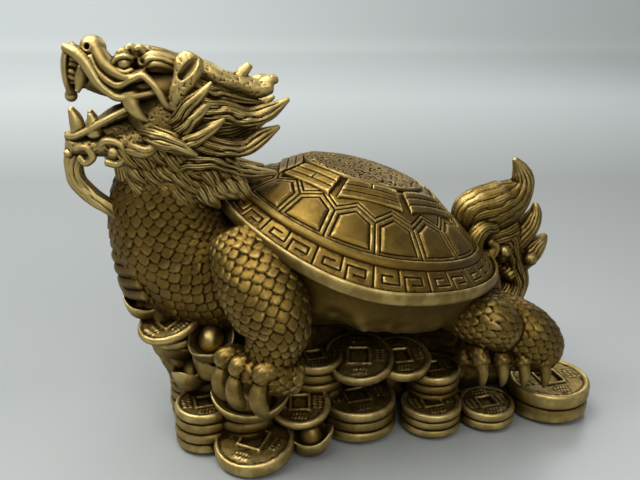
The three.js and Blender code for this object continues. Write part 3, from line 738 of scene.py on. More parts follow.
SKULL = [[0, -62, 190, 22, 24], [0, -82, 194, 30, 30], [0, -100, 190, 27, 22]]
THROAT = [[0, -82, 158, 26, 26], [0, -98, 172, 26, 22]]
MUZZLE = [[0, -84, 214, 24, 14], [0, -104, 215, 21, 10], [0, -120, 217, 17, 8.5], [0, -129, 220, 12, 8]]
NOSE_FLARE = [
    [0, -118, 219, 9, 6], [0, -128, 221, 9, 7.5], [0, -134, 223, 8, 10.5], [0, -138, 224.5, 8, 12.5],
    [0, -140.5, 225, 8, 12.5],
]
NOSE_RIM = [
    [0, -137, 237, 6, 2], [0, -140.5, 234, 8, 2.2], [0, -142.5, 227, 9, 2.2], [0, -142.5, 219, 9, 2.2],
    [0, -141, 212, 6, 2.2],
]
LIP_KNOB = (0, -141, 210)
TONGUE = [[0, -100, 200, 11, 5], [0, -116, 199, 10, 4.5], [0, -127, 194, 9, 3.4], [0, -134, 194, 6, 2.4]]
NOSE_BRIDGE = [[0, -126, 232, 10, 6], [0, -119, 225, 12, 5], [0, -110, 220, 14, 5], [0, -94, 221, 16, 8]]
NOSE_WING = [[8, -126, 235, 6, 5], [14, -121, 227, 6, 4.6], [19, -112, 222, 6, 3.6], [22, -103, 223, 5, 3]]
LOWER_JAW = [[0, -92, 190, 27, 14], [0, -114, 186, 23, 10.5], [0, -131, 184, 18, 8], [0, -143, 184, 12, 7]]
GOATEE = [
    [0, -141, 182, 10, 7], [0, -144, 170, 7, 5.5], [0, -142, 160, 6.5, 5.5], [2, -134, 151, 6, 5],
    [7, -124, 144, 5, 4.5], [16, -116, 138, 4, 3.5], [22, -110, 130, 1.2, 1.2],
]
GOATEE_BACK = [[0, -116, 172, 15, 7], [0, -115, 160, 13, 7], [0, -117, 148, 10, 5.5], [2, -113, 138, 5, 3]]
CHIN_CURL = [
    [15, -130, 184, 3, 2.4], [18, -125, 188, 3, 2.4], [20, -118, 186, 3, 2.4], [20, -116, 180, 3, 2.4],
    [19, -120, 175, 3, 2.4], [18, -126, 176, 2.4, 2.2],
]
SMALL_CURL = [
    [11, -141, 183, 2.6, 2.2], [14, -136, 184, 2.6, 2.2], [15, -133, 179, 2.6, 2.2],
    [13, -137, 175, 2.2, 2], [11, -140, 178, 2, 2],
]
CHIN_TUFT = [
    [18, -117, 184, 3, 4], [24, -110, 183, 3.4, 4.4], [27, -104, 183, 3, 3.6], [28, -97, 188, 1, 1.4],
]
WHISKER = [
    [14, -129, 232, 2.2, 2], [17, -126, 225, 2.4, 2], [20, -121, 220, 2.5, 2], [22, -116, 218, 2.5, 2],
    [24, -110, 221, 2.5, 2], [25, -104, 223, 2.5, 2], [27, -99, 219, 2.5, 2], [28, -96, 214, 2.5, 2],
    [28, -92, 207, 2.5, 2], [28, -86, 206, 2.5, 2], [29, -80, 210, 2.2, 1.8], [29, -73, 215, 1.2, 1],
]
UPPER_LIP = [
    [7, -141, 236.5, 2.6, 2.6], [12, -136.5, 234.5, 3.2, 3.2], [14.5, -132, 230, 3.6, 3.4],
    [16.5, -129, 224.5, 3.6, 3.2], [18.5, -126, 219, 3.2, 2.8], [20.5, -121.5, 214.5, 2.8, 2.4],
    [22, -115, 211.5, 2.5, 2.2], [24, -97, 214, 2, 1.6],
]
FRONT_TOOTH = [
    [10, -133, 226, 3, 3.2], [11, -135, 221, 2.8, 3], [11, -136, 217, 2, 2.2], [11, -137, 213.5, 0.8, 0.9],
]
LOWER_LIP = [
    [4, -144.5, 189, 3, 2], [11, -141, 190, 2.5, 2], [15, -133, 194, 2.5, 2], [19, -125, 199, 2.5, 2],
    [22, -114, 205, 2, 1.6],
]
FANG = [
    [21, -111, 213, 3.4, 5.4], [23, -110, 207, 3, 4], [24, -107, 202, 2, 2.6], [24, -102, 198, 0.6, 0.7],
]
LOWER_TEETH = [
    [[9, -139, 190, 4, 4], [9, -140, 198, 3.4, 3.6], [9, -142, 204, 1.4, 1.6]],
    [[14, -131, 191, 4, 4], [14, -131, 197, 3.2, 3.6], [14, -132, 202, 1.6, 1.8]],
]
HORN = [
    [11, -80, 225, 7, 6], [13, -69, 222, 7.5, 5.6], [14, -60, 217, 7, 5.4], [14, -50, 214, 6.5, 5.8],
    [14, -41, 211, 6.2, 5.6], [14, -34, 212, 5.4, 4.6],
]
HORN_TINE = [[14, -53, 215, 4.6, 4.2], [14, -49, 220, 3.6, 3.4], [14, -45, 224, 2.6, 2.6]]
HORN_HOOK = [[14, -40, 212, 5, 4], [14, -34, 215, 4.4, 3.6], [14, -30, 216, 3, 2.6]]
EAR = [
    [28, -88, 206, 3.6, 4.6], [29, -86, 214, 4.2, 5.0], [28, -82, 221, 5, 6.6], [27, -79, 228, 4.6, 8],
    [26, -77, 232, 3, 6],
]
EAR_HOLLOW = [[33, -85, 222.5, 3.4, 2.4], [33.5, -80, 227, 4.4, 3.4], [32, -74.5, 232, 3.8, 2.6]]
BROW = [
    [16, -103, 228, 4, 4], [16.5, -98, 229, 6, 6], [16.5, -91, 228, 6, 5.6], [15.5, -84, 225, 5, 4.2],
    [14, -77, 224, 4, 3.4],
]
FOREHEAD = [[0, -114, 226, 12, 5], [0, -104, 229, 14, 6], [0, -94, 228, 14, 6], [0, -80, 222, 12, 7]]
CREST_ROOT = [
    [15, -115, 228, 3, 2.6], [15, -109, 233, 3, 3.4], [15, -101, 232.5, 3.4, 3.6],
    [15.5, -95, 231, 3.4, 3.4],
]
BROW_CREST = [(-114, 230), (-112, 234.5), (-107.5, 236.5), (-103, 236), (-99, 235)]
EYE = (19.5, -112.3, 229)
NOSTRIL = (7, -127, 236)
NOSTRIL_BORE = [[18, -133, 239.5, 2, 2], [10, -129, 236.5, 1.6, 1.6]]
GULLET = (0, -98, 203)
CHIN_CURL_HEART = (19.5, -122, 181.5)
SMALL_CURL_HEART = (9, -146, 180)
UPPER_LID = [
    [18.5, -118, 228.5, 1.2, 1.1], [21, -115.5, 232, 1.4, 1.3], [22, -111, 233, 1.4, 1.3],
    [21, -106.5, 231, 1.2, 1.1],
]
LOWER_LID = [[19, -117.5, 227.5, 1.2, 1.1], [22.5, -113, 224.8, 1.4, 1.3], [22.5, -108.5, 226, 1.2, 1.1]]
EYE_SOCKET = [[22.5, -107.2, 229, 2.2, 2.4], [21, -103.5, 230.5, 2.6, 3]]
MANE_LOCKS = [
    [[15, -78, 215, 8, 6], [16, -62, 209, 7, 5], [14, -36, 202, 1.5, 1.5]],
    [[12, -94, 203, 6, 6], [20, -80, 203, 9, 8], [22, -63, 201, 8, 7], [21, -48, 197, 7, 5.5],
     [20, -36, 199, 5.5, 5], [19, -24, 205, 1.2, 1.4]],
    [[14, -96, 190, 6, 6], [22, -82, 187, 9, 8], [24, -66, 182, 8, 6], [22, -51, 180, 6, 5],
     [21, -41, 185, 5, 4.8], [20, -30, 190, 1.2, 1.4]],
    [[14, -98, 172, 6, 6], [23, -84, 174, 8, 7.5], [24, -69, 175, 8, 6.5], [22, -59, 169, 6, 5],
     [20, -48, 165, 5, 4], [18, -32, 162, 1.4, 1.6]],
]
CHEEK_LOCKS = [
    [[19, -94, 193, 4, 5], [28, -87, 199, 5, 5], [31, -82, 207, 4.5, 4.4], [33, -75, 213, 3, 3],
     [33, -69, 219, 0.8, 1]],
    [[20, -92, 188, 4, 5], [30, -85, 194, 5, 5], [33, -80, 200, 4.2, 4.0], [34, -74, 206, 2.6, 2.8],
     [34, -70, 208, 0.8, 1]],
    [[20, -96, 184, 4, 5], [30, -88, 186, 5, 5.6], [33, -79, 190, 5, 4.8], [34, -70, 195, 3.2, 3.4],
     [33, -63, 199, 0.8, 1]],
    [[18, -106, 192, 4, 5], [29, -98, 190, 5, 6], [33, -91, 188, 5, 5.4], [35, -84, 184, 3.4, 3.2],
     [36, -79, 181, 0.8, 1]],
]
NAPE = [[0, -84, 200, 24, 22], [0, -60, 190, 23, 24], [0, -44, 184, 12, 14]]
BEARD = [
    [0, -116, 173, 15, 8], [0, -107, 171, 22, 12], [0, -92, 169, 28, 14], [0, -76, 168, 28, 15],
    [0, -62, 170, 22, 13],
]
BEARD_RUN = (0.0, 0.57, -0.82)


def fringe():
    """Beard locks that hang from the jaw over the neck, in three layers."""
    locks = []
    for layer, count in ((0, 7), (1, 8), (2, 9)):
        for k in range(count):
            t = (k + 0.3 * (layer % 2)) / (count - 1)
            y = -119 + 3 * layer + (48 + 2 * layer) * t
            z = 188 - 10 * layer - 2 * t
            out = 18.5 + 11 * math.sin(math.pi * (0.12 + 0.6 * t)) - 0.6 * layer
            drop = 16 - 2 * t + 4 * math.sin(2.2 * t + k * 2.4)
            locks.append([
                [out - 5, y - 1, z, 1.6, 4.0],
                [out - 1.5, y + 4, z - drop * 0.4, 2.2, 5.6],
                [out - 1.5, y + 9, z - drop * 0.8, 2.0, 4.8],
                [out - 3.5, y + 14, z - drop * 1.15, 0.7, 1.1],
            ])
    return locks


def crest_curl(y, z, out):
    """One small curl of the brow's crest, rolled forward."""
    return [
        [14 + out, y + 3, z - 5, 2.6, 2.2],
        [15.5 + out, y + 1.5, z - 1.5, 2.6, 2.2],
        [16.5 + out, y - 0.5, z + 0.6, 2.2, 1.9],
        [17 + out, y - 2.4, z - 0.6, 1.3, 1.2],
    ]


def head_parts():
    parts = [
        limb(SKULL, relief=pitted(0.5)),
        limb(THROAT, relief=combed(BEARD_RUN)),
        limb(MUZZLE, relief=stipple(0.12)),
        limb(NOSE_FLARE, nose=(0.3, 0.1), relief=strands(24, 1.6)),
        limb(NOSE_RIM),
        blob(LIP_KNOB, (4, 3.5, 3.5)),
        limb(TONGUE, relief=stipple(0.2)),
        limb(NOSE_BRIDGE, relief=strands(14, 1.0)),
        limb(FOREHEAD, relief=strands(18, 1.4)),
        limb(LOWER_JAW, relief=pitted(0.5)),
        limb(GOATEE, relief=strands(13, 0.9)),
        limb(GOATEE_BACK, relief=combed((0, 0.2, -1))),
        blob(GULLET, (18, 16, 13)),
    ]
    parts += both_blobs(NOSTRIL, 7, 7, 6.5)
    parts += both_blobs(EYE, 3.6, 3.6, 3.6)
    parts += both(UPPER_LID) + both(LOWER_LID)
    parts += both_blobs(CHIN_CURL_HEART, 3.2, 3.2, 3.2)
    parts += both_blobs(SMALL_CURL_HEART, 2.4, 2.4, 2.4)
    parts += both(NOSE_WING)
    parts += both(WHISKER, relief=strands(5, 0.9, 0.0))
    parts += both(UPPER_LIP, relief=ribs(1.3, 0.7, 17))
    parts += both(FRONT_TOOTH) + both(LOWER_LIP) + both(FANG)
    parts += both(CHIN_CURL, relief=strands(7, 0.7))
    parts += both(SMALL_CURL, relief=strands(7, 0.7))
    parts += both(CHIN_TUFT, relief=strands(12, 1.2))
    for tooth in LOWER_TEETH:
        parts += both(tooth)
    parts += both(HORN, relief=pitted())
    parts += both(HORN_HOOK, relief=pitted())
    parts += [limb(tine, relief=pitted(0.4)) for tine in (HORN_TINE, opposite(HORN_TINE, 0.3))]
    parts += both(EAR, relief=pitted(0.5))
    parts += both(BROW, relief=strands(9, 1.3))
    for k, (y, z) in enumerate(BROW_CREST):
        parts += both(crest_curl(y, z, 1.5 * (k % 2)), relief=strands(8, 1.0))
    return parts + both(CREST_ROOT, relief=strands(8, 0.8))


def mane_parts():
    parts = [limb(BEARD, relief=combed(BEARD_RUN, 1.9, 1.1))]
    parts.append(limb(NAPE, relief=combed((0, 1.0, 0.1), 2.0, 1.2)))
    for locks, count, depth in ((MANE_LOCKS, 31, 2.2), (CHEEK_LOCKS, 21, 1.9), (fringe(), 20, 2.2)):
        for lock in locks:
            parts += both(lock, relief=strands(count, depth, 0.2))
    return parts


def head_cuts():
    return both(NOSTRIL_BORE) + both(EAR_HOLLOW) + both(EYE_SOCKET)


# Coins and ingots


def turned(part, place, heading, lean):
    """Leans a part over towards its own +X by `lean`, turns it by `heading` and moves it to its place."""
    points, quads, triangles = part
    c, s = math.cos(math.radians(lean)), math.sin(math.radians(lean))
    tip = np.array([[c, 0, s], [0, 1, 0], [-s, 0, c]])
    c, s = math.cos(math.radians(heading)), math.sin(math.radians(heading))
    spin = np.array([[c, -s, 0], [s, c, 0], [0, 0, 1]])
    return points @ (spin @ tip).T + np.array(place, float), quads, triangles


def coin_face(radius, turn, size, seed):
    """A raised rim, a framed square hole and four rows of shallow strokes."""
    x, y = radius * np.cos(turn), radius * np.sin(turn)
    rim = smoothstep(size - COIN_RIM, size - COIN_RIM + 0.8, radius)
    hole = COIN_HOLE * size / COIN_RADIUS / 2
    square = np.maximum(np.abs(x), np.abs(y))
    frame_edge = 0.9 * smoothstep(hole + 2.0, hole + 1.4, square)
    well = -2.2 * smoothstep(hole + 0.3, hole - 0.3, square)
    marks = np.zeros(radius.shape)
    middle = (hole + 2 + size - COIN_RIM) / 2
    for k in range(4):
        a = k * np.pi / 2
        u = x * math.cos(a) + y * math.sin(a) - middle
        v = -x * math.sin(a) + y * math.cos(a)
        column = (v + (0.3 - 0.2 * (k % 2)) * u) / 2.1
        tick = 1 - smoothstep(0.18, 0.3, np.abs(column - np.round(column)))
        row = 1 - smoothstep(0.9, 1.3, np.abs(np.abs(u) - 1.6))
        marks = np.maximum(marks, 0.8 * tick * row * (np.abs(v) < 4.6))
    rough = 0.18 * noise(np.stack([x, y, np.full(x.shape, float(seed))], -1), 1.6, 31)
    return rim + frame_edge + well + marks + rough


def stack_side(radius, layers, thickness, seed):
    """The outline of a stack's side from its foot to the edge of its top, as (radius, height)."""
    edge = [(-1.5, 0.2), (-0.4, 1.0), (0.0, 2.4)]
    edge += [(0.0, thickness - 2.2), (-0.5, thickness - 0.9), (-1.6, thickness - 0.2)]
    rows = [(radius - 2.0, 0.0)]
    for k in range(layers):
        shrink = 0.5 * hashed(np.array([k, seed, 3]), 1)
        rows += [(radius + shrink + out, k * thickness + up) for out, up in edge]
    rows = np.array(rows)
    fine = [rows[0]]
    for a, b in zip(rows, rows[1:]):
        count = max(1, int(np.hypot(*(b - a)) / VOXEL))
        fine += [a + (b - a) * t / count for t in range(1, count + 1)]
    return np.array(fine)


def coins(radius, layers, thickness, seed=0):
    """A stack of coins whose top one shows its face."""
    turn = all_round(2 * np.pi * radius, VOXEL * 1.2)
    side = stack_side(radius, layers, thickness, seed)
    face = np.arange(side[-1, 0] - VOXEL, 0.2, -VOXEL)
    radii = np.concatenate([side[:, 0], face])[:, None]
    heights = np.concatenate([side[:, 1], np.full(len(face), layers * thickness - COIN_RECESS)])[:, None]
    radii, turns = np.broadcast_arrays(radii, turn)
    on_face = np.concatenate([np.zeros(len(side)), np.ones(len(face))])[:, None]
    heights = heights + on_face * coin_face(radii, turns, radius, seed)
    points = np.stack([radii * np.cos(turns), radii * np.sin(turns), heights], -1)
    points[..., 2] += 0.15 * noise(points, 4.0, seed + 11)
    return skin(points)


# The ingot's section from its foot over the wall to its middle: share of the half width, share of the height,
# and how much higher it is at the ends
INGOT_SECTION = np.array([
    (0.45, 0.0, 0.0), (0.7, 0.06, 0.02), (0.92, 0.36, 0.2), (1.0, 0.6, 0.36), (0.96, 0.64, 0.36),
    (0.86, 0.58, 0.3), (0.66, 0.44, 0.06), (0.56, 0.5, 0.0), (0.44, 0.74, 0.0), (0.26, 0.92, 0.0),
    (0.04, 0.98, 0.0),
])


def ingot(length, width, rise):
    """A boat-shaped ingot: upturned ends, a thin wall round a domed middle."""
    fine = catmull(INGOT_SECTION, 60)
    turn = all_round(np.pi * length / 2, VOXEL)
    share, high, curl = fine[:, :1], fine[:, 1:2], fine[:, 2:]
    x = length / 2 * share * np.cos(turn)
    y = width / 2 * share * np.sin(turn)
    z = rise * (high + curl * np.abs(np.cos(turn)) ** 3)
    return skin(np.stack([x, y, z], -1))


# The heap: each piece's place, its sizes, and its heading and lean in degrees. A stack's sizes are radius,
# layers and a coin's thickness, and an ingot's are length, width and height.
STACKS = [
    ((58, -57, 3), (24.5, 1, 10), (-40, 11)),
    ((38, -58, 0), (20, 4, 7), (0, 0)),
    ((34, -83, 0), (18.5, 4, 6.8), (0, 0)),
    ((49, -27, 21), (18.7, 1, 6), (-15, 15)),
    ((46, -26, 0), (15, 3, COIN_THICKNESS), (0, 0)),
    ((43, 12, 0), (24.8, 3, 6.9), (0, 0)),
    ((36, 15, 39), (22.7, 1, COIN_THICKNESS), (-16, 16)),
    ((37, 43, 35), (19.2, 1, COIN_THICKNESS), (-5, 14)),
    ((30, -12, 0), (18, 7, 6.6), (0, 0)),
    ((42, 64, 0), (17.5, 5, 6.5), (0, 0)),
    ((57, 57, 0), (19, 3, 5.6), (0, 0)),
    ((61, 94, 0), (18.4, 2, 6.2), (0, 0)),
    ((58, 140, 0), (26, 2, 10.4), (0, 0)),
    ((24, 146, 0), (19, 2, COIN_THICKNESS), (0, 0)),
]
INGOTS = [
    ((53, -58, 26), (47, 38, 15), (75, 0)),
    ((63, -24, 0), (28, 26, 17), (60, 0)),
    ((30, -72, 40), (40, INGOT_WIDTH, INGOT_HEIGHT), (115, 8)),
    ((18, -86, 32), (INGOT_LENGTH, INGOT_WIDTH, INGOT_HEIGHT), (150, 0)),
]
# Pieces near the middle line: two in front, two behind, and the rest on the chest
MIDDLE_PIECES = [
    (coins, (2, -84, 0), (17, 5, 6.8), (20, 0)),
    (ingot, (2, -88, 33), (40, INGOT_WIDTH, INGOT_HEIGHT), (10, 4)),
    (coins, (0, 141, 0), (17, 3, COIN_THICKNESS), (30, 0)),
    (ingot, (0, 132, 20), (38, INGOT_WIDTH, INGOT_HEIGHT), (5, 0)),
    (coins, (15, -98, 71), (20.5, 1, 5.5), (-65, 17)),
    (coins, (12, -95, 62), (17, 1, 5.5), (-50, 10)),
    (ingot, (27, -75, 58), (36, 28, 18), (-20, 26)),
    (ingot, (0, -114, 94), (26, 22, 14), (60, 8)),
    (ingot, (-7, -113, 83), (31, 24, 14), (105, 6)),
    (ingot, (1, -111, 73), (30, 24, 14), (65, 4)),
    (ingot, (-8, -103, 63), (32, 24, 14), (95, 2)),
    (ingot, (14, -97, 50), (36, 26, 15), (105, 12)),
]
HEAP = [[0, -62, 12, 36, 18], [0, -10, 14, 34, 22], [0, 60, 14, 34, 24], [0, 128, 8, 34, 14]]
CHEST_HEAP = [[0, -62, 14, 36, 28], [0, -84, 34, 24, 18], [0, -96, 62, 18, 15], [0, -103, 84, 14, 12]]
FAR_SIDE_BACK = 9.0  # how much further back the front pieces lie on the far side
FAR_SEED = 20  # sets the far side's seeds apart from the near side's


def far_side(place, turn):
    """Where a piece's partner on the far side lies."""
    x, y, z = place
    heading, lean = turn
    return (-x, y + (FAR_SIDE_BACK if y < 0 else 0), z), (180 - heading, lean)


def heap_parts():
    parts = [limb(HEAP, relief=stipple(0.8, 5.0)), limb(CHEST_HEAP, relief=stipple(1.2, 5.0))]
    for k, (place, sizes, turn) in enumerate(STACKS):
        far_place, far_turn = far_side(place, turn)
        parts.append(turned(coins(*sizes, seed=k), place, *turn))
        parts.append(turned(coins(*sizes, seed=k + FAR_SEED), far_place, *far_turn))
    for place, sizes, turn in INGOTS:
        far_place, far_turn = far_side(place, turn)
        parts.append(turned(ingot(*sizes), place, *turn))
        parts.append(turned(ingot(*sizes), far_place, *far_turn))
    for make, place, sizes, turn in MIDDLE_PIECES:
        parts.append(turned(make(*sizes), place, *turn))
    return parts


# Recesses: the share of brass round each point of the skin, at four reaches


def skin_of(mesh):
    """An object's mesh as a skin of triangles, in the figure's own axes."""
    points = np.empty(len(mesh.vertices) * 3, np.float32)
    mesh.vertices.foreach_get("co", points)
    mesh.calc_loop_triangles()
    triangles = np.empty(len(mesh.loop_triangles) * 3, np.int32)
    mesh.loop_triangles.foreach_get("vertices", triangles)
    points = points.reshape(-1, 3).astype(float) * 1000
    points = points - np.array(CAD_BOX[0]) * 1000 + CAD_LOW_CORNER
    return points, np.empty((0, 4), np.int32), triangles.reshape(-1, 3)


def share_at(values, low, points):
    """The values at the points, blended between the grid's own."""
    places = points - np.array(low)
    base = np.clip(np.floor(places).astype(int), 0, np.array(values.shape) - 2)
    t = places - base
    total = np.zeros(len(points))
    for corner in np.ndindex(2, 2, 2):
        share = np.prod(np.where(corner, t, 1 - t), axis=1)
        i, j, k = (base + np.array(corner)).T
        total += share * values[i, j, k]
    return total


def fullness(skins, points, voxel, blur):
    """The share of brass in the `blur` mm round each of the points."""
    low, shape = grid_for(points, voxel, margin=int(2 * blur / voxel) + 2)
    values = field(skins, low, shape, voxel)
    values = np.clip(0.5 - values, 0, 1)
    values = blurred(values, max(1, round(2 * (blur / voxel) ** 2)))
    return share_at(values, low, points / voxel)


def fine_fullness(skin_parts, grid):
    """The same at one voxel, and at five, on the grid that the skin came from."""
    points = skin_parts[0]
    if grid is None:
        voxel = VOXEL * 1.2
        low, shape = grid_for(points, voxel)
        values = field([skin_parts], low, shape, voxel)
    else:
        values, low, voxel = grid
    fine = blurred(np.clip(0.5 - values, 0, 1), 3)
    middle = blurred(fine[::2, ::2, ::2].copy(), 6)
    places = points / voxel
    return share_at(fine, low, places), share_at(middle, np.array(low) / 2, places / 2)


def mark_recesses(pieces):
    """Keeps those shares with each point, for the finish."""
    skins = [skin_of(thing.data) for thing, _ in pieces]
    every = np.vstack([points for points, _, _ in skins])
    wide = fullness(skins, every, 2.0, 6.0)
    deep = fullness(skins, every, 5.0, 20.0)
    start = 0
    for (thing, grid), own in zip(pieces, skins):
        fine, middle = fine_fullness(own, grid)
        here = slice(start, start + len(own[0]))
        for name, values in (("fine", fine), ("middle", middle), ("wide", wide[here]), ("deep", deep[here])):
            add_values(thing, name, values)
        start += len(own[0])


# Finish

PLAIN_BRASS = (0.145, 0.088, 0.018)
CLOUDED_BRASS = (0.215, 0.132, 0.028)
RUBBED_BRASS = (0.60, 0.45, 0.17)
# Near-black, for the patina in crevices and for the painted shade in hollows and underneath
DARK_PATINA_AND_SHADE = (0.024, 0.012, 0.003)
ROUGHNESS = (0.42, 0.54)  # least and most, on clean brass
PATINA_AND_SHADE_ROUGHNESS = 0.35
GRAIN_STRENGTH = 0.25
GRAIN_HEIGHT = 0.0004


class Finish:
    """A material, with short ways to add nodes to it."""

    def __init__(self, name):
        self.material = bpy.data.materials.new(name)
        self.material.use_nodes = True
        self.node = self.material.node_tree.nodes.new
        self.link = self.material.node_tree.links.new
        self.shader = self.material.node_tree.nodes["Principled BSDF"].inputs
        self.coords = self.node("ShaderNodeTexCoord").outputs

    def feed(self, socket, value):
        """Sets a socket to a number or a colour, or links it to another node."""
        if isinstance(value, float):
            socket.default_value = value
        elif isinstance(value, tuple):
            socket.default_value = (*value, 1.0)
        else:
            self.link(value, socket)

    def attribute(self, name):
        node = self.node("ShaderNodeAttribute")
        node.attribute_name = name
        return node.outputs["Fac"]

    def axis(self, coords, name):
        node = self.node("ShaderNodeSeparateXYZ")
        self.link(self.coords[coords], node.inputs["Vector"])
        return node.outputs[name]

    def mapped(self, value, low, high, to_low=0.0, to_high=1.0, kind="SMOOTHSTEP"):
        node = self.node("ShaderNodeMapRange")
        node.interpolation_type = kind
        self.link(value, node.inputs["Value"])
        for socket, number in zip(("From Min", "From Max", "To Min", "To Max"), (low, high, to_low, to_high)):
            node.inputs[socket].default_value = number
        return node.outputs["Result"]

    def speckle(self, scale, detail=4.0):
        node = self.node("ShaderNodeTexNoise")
        node.inputs["Scale"].default_value = scale
        node.inputs["Detail"].default_value = detail
        self.link(self.coords["Object"], node.inputs["Vector"])
        return node.outputs["Fac"]

    def maths(self, kind, a, b):
        node = self.node("ShaderNodeMath")
        node.operation = kind
        node.use_clamp = True
        self.feed(node.inputs[0], a)
        self.feed(node.inputs[1], b)
        return node.outputs["Value"]

    def blend(self, share, first, second):
        node = self.node("ShaderNodeMix")
        node.data_type = "RGBA"
        self.link(share, node.inputs["Factor"])
        self.feed(node.inputs[6], first)
        self.feed(node.inputs[7], second)
        return node.outputs[2]


def patina_and_shade_share(make):
    """Dark patina lies in crevices, and painted shade in sheltered hollows and on what faces down."""
    fine, middle, wide, deep = (make.attribute(name) for name in ("fine", "middle", "wide", "deep"))
    # Real patina: dark in the fine crevices
    crevice = make.maths("MAXIMUM", make.mapped(fine, 0.5, 0.58), make.mapped(middle, 0.51, 0.64))
    # Painted shade: darker in hollows that are enclosed by brass at 6 and 20 mm
    hollow_shade = make.maths("MAXIMUM", make.mapped(wide, 0.52, 0.8), make.mapped(deep, 0.6, 0.8))
    # Painted shade: darker on surfaces that face down
    underside_shade = make.mapped(make.axis("Normal", "Z"), -0.05, -0.6, 0.0, 0.75)
    painted_shade = make.maths("MAXIMUM", hollow_shade, underside_shade)
    return make.maths("MAXIMUM", crevice, make.maths("MULTIPLY", painted_shade, 0.85))


def worn_share(make):
    """Brass is rubbed bright on edges and on what stands out, in patches, and more on a polished piece."""
    edges = make.maths("MULTIPLY", make.mapped(make.attribute("fine"), 0.475, 0.4), 0.6)
    heights = make.maths("MULTIPLY", make.mapped(make.attribute("wide"), 0.47, 0.27), 0.6)
    patches = make.mapped(make.speckle(90.0, 2.0), 0.42, 0.6, 0.45, 1.0)
    polish = make.attribute("polish")
    worn = make.maths("MULTIPLY", make.maths("MULTIPLY", make.maths("ADD", edges, heights), patches), polish)
    all_over = make.maths("MULTIPLY", make.maths("SUBTRACT", polish, 1.0), 0.35)
    return make.maths("ADD", worn, all_over)


def brass():
    make = Finish("antique_brass")
    make.shader["Metallic"].default_value = 1.0
    patina_and_shade = patina_and_shade_share(make)
    clouds = make.mapped(make.speckle(60.0), 0.35, 0.7)
    colour = make.blend(clouds, PLAIN_BRASS, CLOUDED_BRASS)
    colour = make.blend(worn_share(make), colour, RUBBED_BRASS)
    # Dark patina in crevices, and painted shade in hollows and on undersides
    colour = make.blend(make.maths("MULTIPLY", patina_and_shade, 0.93), colour, DARK_PATINA_AND_SHADE)
    make.link(colour, make.shader["Base Color"])
    rough = make.mapped(make.speckle(220.0), 0.3, 0.7, *ROUGHNESS)
    rough = make.maths("ADD", rough, make.maths("MULTIPLY", patina_and_shade, PATINA_AND_SHADE_ROUGHNESS))
    make.link(rough, make.shader["Roughness"])
    grain = make.node("ShaderNodeBump")
    grain.inputs["Strength"].default_value = GRAIN_STRENGTH
    grain.inputs["Distance"].default_value = GRAIN_HEIGHT
    make.link(make.speckle(900.0, 3.0), grain.inputs["Height"])
    make.link(grain.outputs["Normal"], make.shader["Normal"])
    return make.material


# Camera, floor and light

CAMERA_TURN = 74.0
CAMERA_HEIGHT = 21.5
CAMERA_DISTANCE = 500.0
CAMERA_TARGET = (0.0, 0.0, 110.0)
PHOTO_WIDTH = 640
FOCAL_PIXELS = 784.2
SENSOR = 36.0
FLOOR_HALF_WIDTH = 5.0
FLOOR_BEND = [(0.9, 0.0), (-1.2, 0.0), (-1.6, 0.04), (-1.9, 0.16), (-2.1, 0.4), (-2.2, 0.8), (-2.25, 3.0)]
FLOOR_SPAN = (-1.9, 0.3)  # from far to near, in metres along the camera's view
# Painted shade on the floor: darkest from about half a metre behind the figure to just in front of it
FLOOR_SHADE_GREYS = [(0.0, 0.62), (0.4, 0.54), (0.64, 0.27), (0.86, 0.29), (1.0, 0.44)]  # share of the span, grey
FLOOR_TINT = (0.96, 1.0, 0.975)


def camera():
    data = bpy.data.cameras.new("camera")
    data.sensor_width = SENSOR
    data.lens = FOCAL_PIXELS / PHOTO_WIDTH * SENSOR
    data.clip_start = 0.01
    thing = new_object("camera", data)
    a, e = math.radians(CAMERA_TURN), math.radians(CAMERA_HEIGHT)
    back = np.array([math.sin(a) * math.cos(e), -math.cos(a) * math.cos(e), math.sin(e)])
    target = np.array(CAMERA_TARGET)
    thing.location = placed_in_frame(target + CAMERA_DISTANCE * back)
    thing.rotation_euler = Vector(-back).to_track_quat("-Z", "Y").to_euler()
    bpy.context.scene.camera = thing


def pale_floor():
    """Paper with painted shade: darker behind and under the figure, paler towards the backdrop and towards
    the camera.
    """
    make = Finish("pale_floor")
    make.shader["Roughness"].default_value = 0.35
    ramp = make.node("ShaderNodeValToRGB")
    make.link(make.mapped(make.axis("Object", "X"), *FLOOR_SPAN, kind="LINEAR"), ramp.inputs["Fac"])
    stops = ramp.color_ramp.elements
    for place, grey in FLOOR_SHADE_GREYS:
        stop = stops.new(place) if 0 < place < 1 else stops[-int(place)]
        stop.color = (*(tint * grey for tint in FLOOR_TINT), 1.0)
    make.link(ramp.outputs["Color"], make.shader["Base Color"])
    return make.material


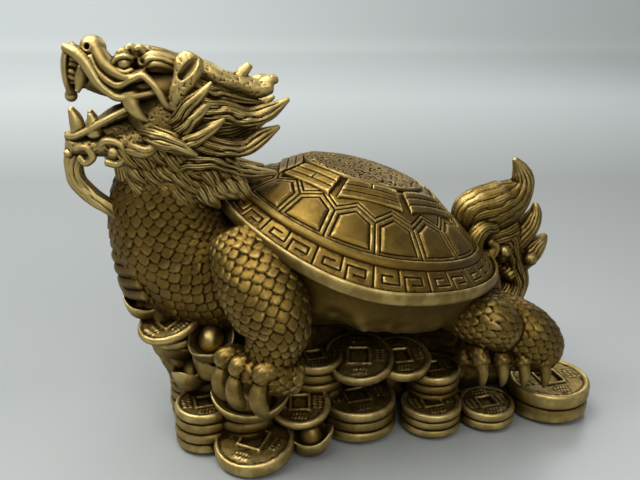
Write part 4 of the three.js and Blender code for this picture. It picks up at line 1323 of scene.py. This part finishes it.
def floor():
    """A pale floor that curves up into a backdrop on the figure's far side."""
    bend = catmull(np.array(FLOOR_BEND), 60)
    count = len(bend)
    points = [(x, y, z) for y in (-FLOOR_HALF_WIDTH, FLOOR_HALF_WIDTH) for x, z in bend]
    faces = [(k, k + 1, count + k + 1, count + k) for k in range(count - 1)]
    mesh = bpy.data.meshes.new("floor")
    mesh.from_pydata(points, [], faces)
    mesh.polygons.foreach_set("use_smooth", [True] * len(faces))
    mesh.materials.append(pale_floor())
    thing = new_object("floor", mesh)
    thing.rotation_euler = (0, 0, math.radians(CAMERA_TURN - 90))


def light(name, place, size, power, colour=(1.0, 1.0, 1.0), target=(0.0, 0.0, 0.1)):
    data = bpy.data.lights.new(name, "AREA")
    data.shape = "RECTANGLE"
    data.size, data.size_y = size
    data.energy = power
    data.color = colour
    thing = new_object(name, data)
    thing.location = place
    thing.rotation_euler = (Vector(target) - Vector(place)).to_track_quat("-Z", "Y").to_euler()


def lights():
    light("overhead", (-0.1, -0.45, 1.2), (1.1, 1.1), 23.0)
    light("key", (1.1, 0.1, 1.0), (0.7, 0.7), 6.0, (1.0, 0.98, 0.95))
    light("rim", (-0.8, 0.8, 0.8), (0.6, 0.6), 3.0, (0.93, 0.97, 1.0))
    light("backdrop", (-0.9, -0.9, 1.6), (1.2, 1.2), 28.0, (0.95, 0.98, 1.0), (-2.0, -0.7, 0.9))
    world = bpy.data.worlds.new("studio")
    world.use_nodes = True
    background = world.node_tree.nodes["Background"]
    background.inputs["Color"].default_value = (0.72, 0.77, 0.8, 1.0)
    background.inputs["Strength"].default_value = 0.3
    bpy.context.scene.world = world
    bpy.context.scene.view_settings.view_transform = "Standard"


def figure():
    pieces = [
        piece("shell", shell()),
        piece("head", cast(head_parts(), head_cuts()), share=0.8, polish=1.8),
        piece("mane", cast(mane_parts(), voxel=VOXEL * 0.85), polish=1.4),
        piece("body", cast(body_parts(), voxel=VOXEL * 1.2), polish=0.45),
        piece("tail", cast(tail_parts()), share=0.35),
        piece("heap", cast(heap_parts(), voxel=VOXEL * 1.3), polish=1.3),
    ]
    mark_recesses(pieces)
    finish = brass()
    for thing, _ in pieces:
        thing.data.materials.clear()
        thing.data.materials.append(finish)


camera()
floor()
lights()
figure()
